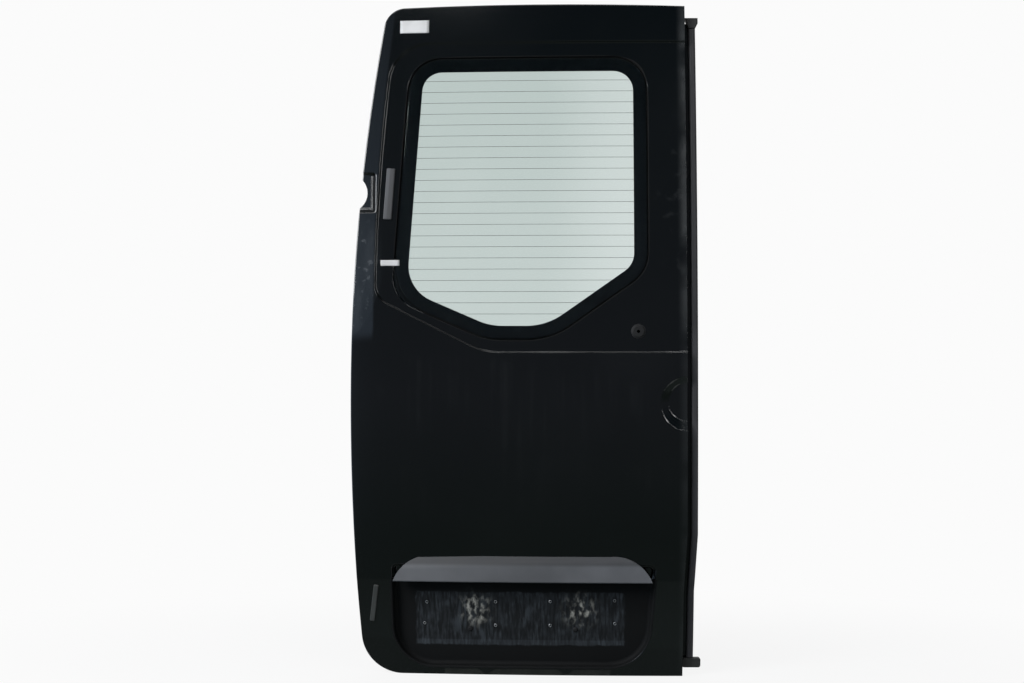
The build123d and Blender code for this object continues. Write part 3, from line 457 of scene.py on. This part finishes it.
def recess_share(place):
    """1 inside the plate recess, where the paint is worn dull."""
    x, z = place.part(0), place.part(2)
    down = (z - RECESS_TOP) / (RECESS_BOTTOM - RECESS_TOP)
    left = down * (BOTTOM_EDGES[0] - TOP_EDGES[0]) + TOP_EDGES[0]
    right = down * (BOTTOM_EDGES[1] - TOP_EDGES[1]) + TOP_EDGES[1]
    aside = (left - x).math("MAXIMUM", x - right) + RECESS_CORNER
    below = RECESS_BOTTOM + RECESS_CORNER - z
    corner = (aside.math("MAXIMUM", 0.0) * aside + below.math("MAXIMUM", 0.0) * below).math("SQRT")
    return (corner - RECESS_CORNER).ease(0.008, 0.005) * z.ease(TRIM_FOOT + 0.004, TRIM_FOOT)


# %% [markdown]
# The inner side is painted like the outer one but is never polished, and fine dust lies on it. So a
# larger share of it is the paint without shine, and the share changes slowly from place to place.

# %% Paint of the inner side


def inner_paint(place):
    """Black paint, mostly matt, with fine dust."""
    dust = place.noise(5, 5).ease(0.35, 0.9) * 0.06 + place.noise(60, 3).ease(0.55, 0.8) * 0.02
    matt = place.noise(2.5, 2).ease(0.2, 0.8) * 0.3 + 0.4
    return painted(place, blend(dust, BLACK, GREY_DUST), dust, matt)


inner_finish = finish_of("inner_paint", inner_paint)
dress(inner_finish, "inner_panel", "waist_beam", "seal_carrier")
dress(inner_finish, "upper_hinge_plate", "lower_hinge_plate")

# %% [markdown]
# The mouldings are grey plastic with a fine leather-like grain. A single noise, shallow and small,
# gives the grain through a Bump node; a second, wider one fades the colour as sunlight does. Rubber
# is made the same way with a coarser grain. Plated steel is a metal with cloudy patches. On the trim,
# the upper stop pad and the seal, a function of the place paints light and shade into the colour.

# %% Plastic, rubber and metal


def moulded(colour, rough, grain=900, height=0.00006, shade=None):
    """A moulded plastic or rubber: grain as bump, a little fading, and a shade by place where given."""

    def build(place):
        faded = place.noise(14, 3).ease(0.3, 0.75)
        pale = tuple(min(1, c * 1.25) for c in colour)
        tone = blend(faded, (*colour, 1), (*pale, 1))
        if shade:
            tone = tone.vector("MULTIPLY", shade(place))
        sockets = {"Height": place.noise(grain, 2), "Distance": height, "Strength": 0.6}
        return surface(
            place,
            base_color=tone,
            roughness=faded * 0.15 + rough,
            normal=place.node("ShaderNodeBump", None, sockets),
        )

    return build


def plated(colour, rough):
    """Zinc-plated steel: a metal with cloudy patches."""

    def build(place):
        cloud = place.noise(60, 4).ease(0.35, 0.7)
        dull = tuple(c * 0.7 for c in colour)
        return surface(
            place,
            base_color=blend(cloud, (*colour, 1), (*dull, 1)),
            metallic=1.0,
            roughness=cloud * 0.2 + rough,
        )

    return build


TRIM_RIDGE_Z = -0.935
PAD_TOP_LEFT = (0.0447, 0.0543)
PAD_SLANT = 0.075
PAD_STRIPE = 0.0165
PAD_DARKEST = 0.42
TRIM_ABOVE = 0.52


def trim_shade(place):
    """Painted shade above the trim's ridge and painted highlights towards both ends."""
    x, z = place.part(0), place.part(2)
    ends = x.ease(0.35, 0.05) * 0.15 + x.ease(0.45, 0.65) * 0.30 + 1
    return (1 - z.ease(TRIM_RIDGE_Z - 0.004, TRIM_RIDGE_Z + 0.006) * TRIM_ABOVE) * ends


def pad_shade(place):
    """Painted highlights along the pad's left edge and along one stripe, and painted shade on the
    right.
    """
    x, z = place.part(0), place.part(2)
    across = x - PAD_TOP_LEFT[0] - (z - PAD_TOP_LEFT[1]) * PAD_SLANT
    stripe = (across - PAD_STRIPE).math("ABSOLUTE").ease(0.0025, 0.0005) * 0.45
    # Painted highlight along the pad's left edge.
    lit_left_edge = across.ease(0.0200, 0.0070) * 0.45 + across.ease(0.006, 0.001) * 0.7
    return lit_left_edge + stripe + PAD_DARKEST


# The trim's grey carries the painted shade and painted highlights of trim_shade.
trim_grey = finish_of("trim_grey", moulded((0.072, 0.075, 0.082), 0.5, shade=trim_shade))
dress(trim_grey, "plate_lamp_trim")
# The upper stop pad's grey carries the painted highlights and painted shade of pad_shade.
lit_pad_grey = finish_of("lit_pad_grey", moulded((0.042, 0.043, 0.047), 0.5, shade=pad_shade))
dress(lit_pad_grey, "upper_stop_pad")
pad_grey = finish_of("pad_grey", moulded((0.030, 0.033, 0.031), 0.55))
dress(pad_grey, "lower_stop_pad")


def seal_shade(place):
    """Painted light and shade: darker at the upper end and low down, paler below the window where the
    door's edge shades the seal, but less so by the dish.
    """
    z = place.part(2)
    below_window = z.ease(-0.32, -0.40) * 0.75
    by_dish = z.between(-0.56, -0.48, 0.04) * 0.65
    low_down = z.ease(-0.82, -0.92) * 0.35
    return below_window - by_dish - low_down - z.ease(-0.1, 0.2) * 0.12 + 1


# The seal's colour carries the painted light and painted shade of seal_shade.
seal_rubber = finish_of("seal_rubber", moulded((0.0290, 0.0280, 0.0310), 0.6, 500, shade=seal_shade))
dress(seal_rubber, "centre_seal")
dull_rubber = finish_of("dull_rubber", moulded((0.0165, 0.0165, 0.0165), 0.6, 500))
dress(dull_rubber, "seal_top_cap", "upper_bump_stop", "lower_bump_stop")
dress(dull_rubber, "blanking_plugs", "harness_gland", "window_bond_bead")
plug_rubber = finish_of("plug_rubber", moulded((0.0036, 0.0039, 0.0048), 0.75, 500))
dress(plug_rubber, "wiper_hole_plug", "plate_hole_plugs")
foot_rubber = finish_of("foot_rubber", moulded((0.0260, 0.0270, 0.0245), 0.6, 500))
dress(foot_rubber, "seal_foot")
black_plastic = finish_of("black_plastic", moulded((0.018, 0.018, 0.019), 0.45))
dress(black_plastic, "release_lever", "rod_guides")
lining_fibre = finish_of("lining_fibre", moulded((0.055, 0.054, 0.052), 0.8, 300, 0.0004))
dress(lining_fibre, "lining_board")
plated_steel = finish_of("plated_steel", plated((0.62, 0.61, 0.57), 0.25))
dress(plated_steel, "release_bracket", "upper_latch_rod", "lower_latch_rod")
dress(plated_steel, "upper_latch", "lower_latch", "upper_bolt", "lower_bolt")
brass = finish_of("brass", plated((0.72, 0.55, 0.27), 0.3))
dress(brass, "heater_terminals")
lamp_lens = finish_of("lamp_lens", moulded((0.62, 0.64, 0.65), 0.15, 300))
dress(lamp_lens, "plate_lamp_left", "plate_lamp_right")

# %% [markdown]
# Car glass is green because of the iron in it. Light crosses two faces, and each takes its share of
# the tint. In the photograph the pane is a little paler low down and towards the closing edge, so
# the tint is blended there.

# %% Glass
DEEP_TINT = (0.545, 0.628, 0.606, 1)
PALE_TINT = (0.715, 0.787, 0.770, 1)


def tinted(place):
    """Tinted glass with faint smears."""
    smear = place.noise(6, 4).ease(0.4, 0.8) * 0.08
    lower = place.part(2).ease(0.33, -0.35) * 0.36
    toward_edge = place.part(0).ease(0.42, 0.66) * 0.62
    tint = blend(smear + lower + toward_edge, DEEP_TINT, PALE_TINT)
    return surface(place, base_color=tint, roughness=0.0, transmission_weight=1.0, ior=1.45)


dress(finish_of("tinted_glass", tinted), "window_glass")

# %% [markdown]
# The pane's black border and its heating lines are printed on the inner side of the glass. Both
# follow the clear opening, a hexagon with rounded corners. One function walks round that outline
# and gives each place with its outward direction, so that the border is the same walk moved
# outwards.

# %% Outline of the clear glass
CLEAR_CORNERS = [
    ((0.131, 0.308), 0.050),
    ((0.661, 0.308), 0.050),
    ((0.661, -0.183), 0.055),
    ((0.441, -0.337), 0.160),
    ((0.300, -0.337), 0.160),
    ((0.090, -0.246), 0.095),
]
PRINT_DEPTH = 0.0104
ARC_STEPS = 10
EDGE_STEPS = 8


def rounded_walk(corners):
    """Places and outward directions along a clockwise outline with rounded corners."""
    arcs = []
    for index, (point, radius) in enumerate(corners):
        here = Vector(point)
        back = (Vector(corners[index - 1][0]) - here).normalized()
        ahead = (Vector(corners[(index + 1) % len(corners)][0]) - here).normalized()
        middle = here + (back + ahead).normalized() * radius / math.sin(back.angle(ahead) / 2)
        first = Vector((back.y, -back.x))
        last = Vector((-ahead.y, ahead.x))
        turn = first.angle_signed(last)
        arc = []
        for step in range(ARC_STEPS + 1):
            angle = math.atan2(first.y, first.x) - turn * step / ARC_STEPS
            out = Vector((math.cos(angle), math.sin(angle)))
            arc.append((middle + out * radius, out))
        arcs.append(arc)
    walk = []
    for index, arc in enumerate(arcs):
        walk += arc
        start, out = arc[-1]
        stop = arcs[(index + 1) % len(arcs)][0][0]
        walk += [(start.lerp(stop, step / EDGE_STEPS), out) for step in range(1, EDGE_STEPS)]
    return walk


clear_walk = rounded_walk(CLEAR_CORNERS)
print("clear outline:", len(clear_walk), "places")

# %% [markdown]
# The step that the pane sits in is blackened by the adhesive's primer, so it has no shine. It is
# found by its distance from the clear opening, which for a hexagon is the greatest of six straight
# distances, and by its depth. A smooth maximum rounds the corners: it cuts a sixth of its width off
# each. The pane's upper edge comes last, since it meets the sides at two equal corners. Dust also
# dulls parts of the window step and the walls of the hinge pocket. With that, the outer skin can be
# painted: each kind of mark is one blend over the last colour.

# %% Paint on the outer skin
BAND_DEPTH = 0.007
REBATE_NEAR = 0.026
REBATE_FAR = 0.0385
TOP_EDGE_LAST = (2, 3, 4, 5, 0, 1)
CUT_TO_WIDTH = 6
RIM_NEAR = 0.0016
RIM_FAR = 0.0066
RECESS_DUST = 0.0105


def rebate_share(place):
    """1 on the step around the pane."""
    away = None
    last_out = None
    for index in TOP_EDGE_LAST:
        point, corner = Vector(CLEAR_CORNERS[index][0]), CLEAR_CORNERS[index - 1]
        along = (point - Vector(corner[0])).normalized()
        out = Vector((-along.y, along.x))
        across = {0: place, 1: (out.x, 0, out.y)}
        side = place.node("ShaderNodeVectorMath", {"operation": "DOT_PRODUCT"}, across, 1)
        side = side - out.dot(point)
        if away is None:
            away = side
        else:
            cut = (corner[1] + REBATE_FAR) * (1 - math.cos(out.angle(last_out) / 2))
            away = away.math("SMOOTH_MAX", side, CUT_TO_WIDTH * cut)
        last_out = out
    depth = depth_behind(place, CREST, BOW_RADIUS)
    deep = depth.ease(BAND_DEPTH - 0.0004, BAND_DEPTH - 0.0002)
    return away.between(REBATE_NEAR, REBATE_FAR, 0.001) * deep


def dusty_step(place):
    """How far dust has dulled the window step, on its slant and under the wiper's hole."""
    x, z = place.part(0), place.part(2)
    depth = depth_behind(place, CREST, BOW_RADIUS)
    wall = depth.between(0.0006, BAND_DEPTH - 0.0006, 0.0004)
    along = x.between(0.03, 0.27, 0.03) * 0.85 + x.between(0.54, 0.71, 0.06) * 0.6
    return wall * along * z.between(LEDGE_Z - 0.01, -0.24, 0.02)


def pocket_wall(place):
    """1 on the dull walls of the hinge pocket, inside their rounded rim."""
    below_top = place.part(2).ease(POCKET_TOP + 0.002, POCKET_TOP)
    return pocket_reach(place).between(RIM_NEAR, RIM_FAR, 0.0004) * below_top


def skin_paint(place):
    """All marks on the outer skin in their order, over the paint."""
    recess = recess_share(place)
    grey = panel_dust(place) + recess * RECESS_DUST
    lip, adhesive = pale_lip_band(place), old_adhesive(place)
    bluish = wiped_smear(place) + plate_print(place)
    colour = blend(grey, BLACK, GREY_DUST)
    colour = blend(bluish, colour, BLUE_DUST)
    colour = blend(lip, colour, LIP_PALE_TONE)
    colour = blend(adhesive, colour, ADHESIVE)
    dull = recess.math("MAXIMUM", rebate_share(place))
    dull = dull.math("MAXIMUM", dusty_step(place)).math("MAXIMUM", pocket_wall(place))
    return painted(place, colour, grey + bluish + lip + adhesive, dull)


dress(finish_of("skin_paint", skin_paint), "outer_skin")

# %% [markdown]
# The border, the heating lines, the labels and the small turned parts aren't in the CAD model, so
# they are made here as meshes. All of them are bands: rows of places, with faces between one row
# and the next. Each new piece is told which body it rides on and is given its material, so that it
# stays a part of the whole model.

# %% Pieces made of strips


def new_piece(name, material):
    """An empty mesh piece that rides with the door."""
    piece = bpy.data.objects.new(name, bpy.data.meshes.new(name))
    piece.data.materials.append(material)
    scene.collection.objects.link(piece)
    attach(piece, "root")
    return piece


def strip_mesh(piece, rows_list):
    """Fills a piece with bands of faces; a band is a list of rows of equal length."""
    form = bmesh.new()
    for rows in rows_list:
        grid = [[form.verts.new(place) for place in row] for row in rows]
        for low, high in zip(grid, grid[1:]):
            for index in range(len(low) - 1):
                form.faces.new((low[index], low[index + 1], high[index + 1], high[index]))
    bmesh.ops.remove_doubles(form, verts=form.verts, dist=1e-6)
    bmesh.ops.recalc_face_normals(form, faces=form.faces)
    for face in form.faces:
        face.smooth = True
    form.to_mesh(piece.data)
    form.free()
    print(piece.name, "faces:", len(piece.data.polygons))


# %% [markdown]
# The border of a pane is black ceramic print, baked on to hide the adhesive and keep sunlight off
# it. It lies inside the glass here, just in front of the inner side, so that the tint covers it as
# on a real pane.

# %% Printed border of the pane
BORDER = 0.0315
BORDER_ROWS = 3
PRINT_BLACK = (0.0062, 0.0082, 0.0100, 1)
PRINT_GREY = (0.0150, 0.0185, 0.0220, 1)


def baked_print(place):
    """Ceramic print behind glass: black, without a shine of its own."""
    lower = place.part(2).ease(0.36, -0.10) * 0.6 + place.noise(400, 2).ease(0.3, 0.7) * 0.4
    colour = blend(lower, PRINT_BLACK, PRINT_GREY)
    return surface(place, base_color=colour, roughness=1.0, specular_ior_level=0.0)


border_black = finish_of("border_black", baked_print)
window_border = new_piece("window_border", border_black)
border_rows = []
for row in range(BORDER_ROWS + 1):
    moved = [place + out * BORDER * row / BORDER_ROWS for place, out in clear_walk]
    border_rows.append([on_face(p.x, p.y, PRINT_DEPTH) for p in [*moved, moved[0]]])
strip_mesh(window_border, [border_rows])

# %% [markdown]
# A heating line is a hair of silver paint. Each is a flat ribbon at one height that runs a little
# way under the border on both sides, where two wider bars feed the current.

# %% Heating lines
LINE_TOP = 0.285
LINE_PITCH = 0.0282
LINE_COUNT = 22
LINE_WIDTH = 0.0009
LINE_STEPS = 24
BAR_NEAR = 0.004
BAR_FAR = 0.012
LINE_DEPTH = PRINT_DEPTH + 0.0001


def span_at(walk, z):
    """The least and greatest x of an outline at a height."""
    found = []
    for (a, _), (b, _) in zip(walk, [*walk[1:], walk[0]]):
        if (a.y - z) * (b.y - z) <= 0 and a.y != b.y:
            found.append(a.x + (b.x - a.x) * (z - a.y) / (b.y - a.y))
    return min(found), max(found)


silver_print = finish_of("silver_print", moulded((0.060, 0.052, 0.045), 0.5))
heating_lines = new_piece("heating_lines", silver_print)
bands = []
for number in range(LINE_COUNT):
    height = LINE_TOP - number * LINE_PITCH
    left, right = span_at(clear_walk, height)
    rows = []
    for side in (-0.5, 0.5):
        row = []
        for step in range(LINE_STEPS + 1):
            x = left - BAR_NEAR + (right - left + 2 * BAR_NEAR) * step / LINE_STEPS
            row.append(on_face(x, height + side * LINE_WIDTH, LINE_DEPTH))
        rows.append(row)
    bands.append(rows)
LINE_BOTTOM = LINE_TOP - (LINE_COUNT - 1) * LINE_PITCH
for sign in (-1, 1):
    beside = [(p, out) for p, out in clear_walk if out.x * sign > 0.4 and LINE_BOTTOM < p.y < LINE_TOP]
    beside.sort(key=lambda pair: pair[0].y)
    rows = []
    for offset in (BAR_NEAR, BAR_FAR):
        moved = [place + out * offset for place, out in beside]
        rows.append([on_face(place.x, place.y, LINE_DEPTH) for place in moved])
    bands.append(rows)
strip_mesh(heating_lines, bands)

# %% [markdown]
# Two paper labels stay on the door. They are left blank, so that the part carries no words. Paper is
# never quite flat, so each is a small grid laid on the face with a corner that lifts a little.

# %% Blank labels
LABEL_PROUD = 0.0004
LABEL_STEPS = 8
LABEL_LIFT = 0.001
LIFT_FROM = 1.6
paper = finish_of("paper", moulded((0.53, 0.53, 0.53), 0.6, 700, 0.00003))


def blank_label(name, left, right, top, bottom, depth):
    """A paper label between four edges, at a depth behind the outer face."""
    piece = new_piece(name, paper)
    rows = []
    for row in range(LABEL_STEPS + 1):
        up = row / LABEL_STEPS
        places = []
        for column in range(LABEL_STEPS + 1):
            along = column / LABEL_STEPS
            lift = LABEL_PROUD + LABEL_LIFT * max(0, along + up - LIFT_FROM) ** 2
            x, z = left + (right - left) * along, bottom + (top - bottom) * up
            places.append(on_face(x, z, depth - lift))
        rows.append(places)
    strip_mesh(piece, [rows])
    thick = piece.modifiers.new("paper", "SOLIDIFY")
    thick.thickness = LABEL_PROUD / 2


blank_label("upper_label", 0.071, 0.145, 0.442, 0.409, 0)
blank_label("small_label", 0.024, 0.072, -0.171, -0.1855, BAND_DEPTH)

# %% [markdown]
# Small fasteners are turned parts: a short profile of radius and height pairs, swept round an axis.
# One function makes a set of them as one mesh. Those in the recess are the worn bushes of the plate
# holder's screws, each with a flat black disc inside that is painted shade for its bore. On the inner
# side are the screws of the latches and the push-in clips of the lining board.

# %% Fasteners
TURN_STEPS = 20


def turned_set(name, material, places, profile, out_sign):
    """Turned parts at places of x, z and depth; out_sign is -1 for the front and 1 for the back."""
    piece = new_piece(name, material)
    bands = []
    for x, z, depth in places:
        foot = on_face(x, z, depth)
        axis = (on_face(x, z, depth + 0.01) - foot).normalized() * out_sign
        side = axis.cross(Vector((0, 0, 1))).normalized()
        up = side.cross(axis)
        rows = []
        for radius, height in profile:
            row = []
            for step in range(TURN_STEPS + 1):
                angle = math.tau * step / TURN_STEPS
                aside = side * math.cos(angle) + up * math.sin(angle)
                row.append(foot + axis * height + aside * radius)
            rows.append(row)
        bands.append(rows)
    strip_mesh(piece, bands)


SCREW_PLACES = (
    (0.139, -1.037), (0.313, -1.035), (0.451, -1.033), (0.613, -1.030),
    (0.133, -1.092), (0.313, -1.096), (0.451, -1.095), (0.614, -1.0895),
)
screw_places = [(x, z, RECESS_DEPTH) for x, z in SCREW_PLACES]
worn_bush = finish_of("worn_bush", plated((0.42, 0.43, 0.44), 0.45))
BUSH_PROFILE = ((0.0022, 0.0002), (0.0026, 0.0010), (0.0034, 0.0010), (0.0040, 0.0001))
turned_set("plate_screw_bushes", worn_bush, screw_places, BUSH_PROFILE, -1)
# A flat black disc in each bush is painted shade, standing for the dark inside of its bore.
bore_shade_black = finish_of("bore_shade_black", moulded((0.001, 0.001, 0.001), 0.9))
BORE_SHADE_PROFILE = ((0.0001, 0.0003), (0.0012, 0.0003), (0.0023, 0.0004))
turned_set("plate_screw_bore_shades", bore_shade_black, screw_places, BORE_SHADE_PROFILE, -1)

INNER_DEPTH = 0.062
ROD_X = 0.715
PAN_HEAD = (
    (0.0052, 0.0), (0.0052, 0.0014), (0.0044, 0.0026),
    (0.0024, 0.0032), (0.0016, 0.0018), (0.0001, 0.0017),
)
SCREW_ASIDE = 0.023
LATCH_THICK = 0.024
BRACKET_THICK = 0.00175
HELD = ((0.398, 0.025, LATCH_THICK), (-1.130, 0.025, LATCH_THICK), (-0.530, 0.050, BRACKET_THICK))
latch_screws = []
for middle, apart, thick in HELD:
    for side in (-1, 1):
        for end in (-1, 1):
            place = (ROD_X + side * SCREW_ASIDE, middle + end * apart, INNER_DEPTH + thick)
            latch_screws.append(place)
turned_set("latch_screws", plated_steel, latch_screws, PAN_HEAD, 1)

LINING_THICK = 0.004
LINING_DEPTH = INNER_DEPTH + LINING_THICK
LINING_LEFT, LINING_RIGHT, LINING_TOP, LINING_BOTTOM = 0.132, 0.633, -0.502, -0.858
CLIP_HEAD = (
    (0.0095, 0.0), (0.0095, 0.0008), (0.0080, 0.0022),
    (0.0040, 0.0026), (0.0036, 0.0016), (0.0001, 0.0016),
)
lining_clips = []
for share in (0, 0.25, 0.5, 0.75, 1):
    x = LINING_LEFT + (LINING_RIGHT - LINING_LEFT) * share
    lining_clips += [(x, LINING_TOP, LINING_DEPTH), (x, LINING_BOTTOM, LINING_DEPTH)]
for edge in (LINING_LEFT, LINING_RIGHT):
    lining_clips.append((edge, (LINING_TOP + LINING_BOTTOM) / 2, LINING_DEPTH))
turned_set("lining_clips", black_plastic, lining_clips, CLIP_HEAD, 1)

# %% [markdown]
# Pressed steel and cut bar have broken edges that catch the light. Weld joins the CAD faces where
# they meet, and Bevel then rounds only the sharp corners.

# %% Broken edges
SHARP_PIECES = (
    "upper_hinge_plate", "lower_hinge_plate", "release_bracket",
    "rod_guides", "upper_bolt", "lower_bolt",
)
for name in SHARP_PIECES:
    joined = nodes[name].modifiers.new("joined", "WELD")
    joined.merge_threshold = 0.00002
    broken = nodes[name].modifiers.new("broken", "BEVEL")
    broken.width = 0.0005
    broken.segments = 2
    broken.angle_limit = math.radians(40)
print("broken edges on", len(SHARP_PIECES), "pieces")

# %% [markdown]
# The floor and the backdrop are plain and pale. Light Path lets the camera, and what it sees
# through glass, meet an even white, while the lamps still light the floor near the door so that a
# shadow stays on it. The floor ends just in front of the door and is grey in mirrors there, or the
# lower band would show it. The world gives the paint what it mirrors: a dim room that is a little
# lighter low down, and a bright bluish side on the left.

# %% Floor and world
FLOOR_FRONT = -0.2
FLOOR_BACK = 4.0
FLOOR_SIDE = 4.0
FLOOR_Z = cad_box[0].z
WHITE = (0.965, 0.965, 0.965, 1)
LOW_GREY = (0.085, 0.105, 0.098, 1)
SHADOW_MIDDLE = (0.37, 0, 0)
SHADOW_SIZE = (2.2, 1.5, 0)


def ray_is(start, kind):
    """1 for rays of one kind, such as camera, glossy or transmission rays."""
    return start.node("ShaderNodeLightPath", None, None, "Is " + kind + " Ray")


def pale_floor(place):
    """An even white to the camera, apart from a share of the lit floor near the door."""
    plain = surface(place, base_color=(0.82, 0.82, 0.82, 1), roughness=0.9)
    mirrored = ray_is(place, "Glossy")
    shown = blend(mirrored * place.part(1).ease(0.25, 0.0), WHITE, LOW_GREY)
    even = place.node("ShaderNodeEmission", None, {"Color": shown, "Strength": 1.0})
    shadowed = place.spot(SHADOW_MIDDLE, SHADOW_SIZE) * -0.10 + 1
    share = (ray_is(place, "Camera") * shadowed).math("MAXIMUM", ray_is(place, "Transmission"))
    share = share.math("MAXIMUM", mirrored)
    return place.node("ShaderNodeMixShader", None, {0: share, 1: plain, 2: even})


floor_mesh = bpy.data.meshes.new("floor")
middle_x = (cad_box[0].x + cad_box[1].x) / 2
corners = [
    (middle_x + side * FLOOR_SIDE, y, FLOOR_Z)
    for side, y in ((-1, FLOOR_FRONT), (1, FLOOR_FRONT), (1, FLOOR_BACK), (-1, FLOOR_BACK))
]
floor_mesh.from_pydata(corners, [], [(0, 1, 2, 3)])
floor = bpy.data.objects.new("floor", floor_mesh)
floor_mesh.materials.append(finish_of("pale_floor", pale_floor))
scene.collection.objects.link(floor)

world = bpy.data.worlds.new("studio")
scene.world = world
world.use_nodes = True
world.node_tree.nodes.clear()
sky = Wire(world.node_tree)
toward = sky.node("ShaderNodeTexCoord", None, None, 0)
SKY = [
    (0.27, (0.095, 0.120, 0.113, 1)),
    (0.33, (0.062, 0.078, 0.072, 1)),
    (0.40, (0.055, 0.074, 0.068, 1)),
    (0.50, (0.085, 0.095, 0.112, 1)),
    (0.63, (0.060, 0.074, 0.088, 1)),
    (0.745, (0.025, 0.041, 0.052, 1)),
]
BRIGHT_SIDE = (0.45, 0.59, 0.78, 1)
FLOOR_GLOW = (0.42, 0.45, 0.45, 1)
front = sky.node("ShaderNodeValToRGB", {"stops": SKY}, {"Fac": (toward.part(2) + 1) * 0.5})
level = toward.part(2).ease(0.75, 0.05) * toward.part(2).ease(-0.30, -0.12)
front = blend(toward.part(0).ease(-0.32, -0.43) * level, front, BRIGHT_SIDE)
low_right = toward.part(0).between(0.30, 0.46, 0.04) * toward.part(2).between(-0.50, -0.28, 0.04)
front = blend(low_right, front, FLOOR_GLOW)
room = blend(toward.part(1).ease(0.15, 0.60), front, WHITE)
behind = ray_is(sky, "Transmission") * toward.part(1).ease(0.0, 0.2)
shown = blend(ray_is(sky, "Camera").math("MAXIMUM", behind), room, WHITE)
background = sky.node("ShaderNodeBackground", None, {"Color": shown, "Strength": 1.0})
sky.node("ShaderNodeOutputWorld", None, {"Surface": background})

# %% [markdown]
# The lamps stand where the bowed paint doesn't mirror them. A large one to the left lights the
# mouldings and the hinge pocket. A narrow one to the right draws the arcs in the finger dish, and
# the two above draw the window step and the lower side of the pocket.

# %% Lamps
AIM = Vector((0.37, -0.05, -0.37))


def soft_lamp(name, aside, up, away, width, height, roll, power):
    """A rectangular lamp at angles beside and above the door's middle, aimed at it and rolled."""
    level = math.cos(math.radians(up))
    angle = math.radians(aside)
    toward = Vector((math.sin(angle) * level, -math.cos(angle) * level, math.sin(math.radians(up))))
    data = bpy.data.lights.new(name, "AREA")
    data.shape = "RECTANGLE"
    data.size = width
    data.size_y = height
    data.energy = power
    lamp = bpy.data.objects.new(name, data)
    lamp.location = AIM + toward * away
    aimed = (-toward).to_track_quat("-Z", "Y")
    lamp.rotation_euler = (aimed @ Quaternion((0, 0, 1), math.radians(roll))).to_euler()
    scene.collection.objects.link(lamp)
    print(name, [round(v, 2) for v in lamp.location])


soft_lamp("right_lamp", aside=27, up=17, away=4.6, width=0.30, height=2.4, roll=33, power=22)
soft_lamp("left_lamp", aside=-52, up=24, away=4.4, width=1.6, height=2.4, roll=0, power=150)
soft_lamp("top_lamp", aside=19, up=66, away=3.6, width=1.7, height=0.9, roll=0, power=16)
soft_lamp("high_left_lamp", aside=-27, up=48, away=4.2, width=1.6, height=0.9, roll=0, power=30)
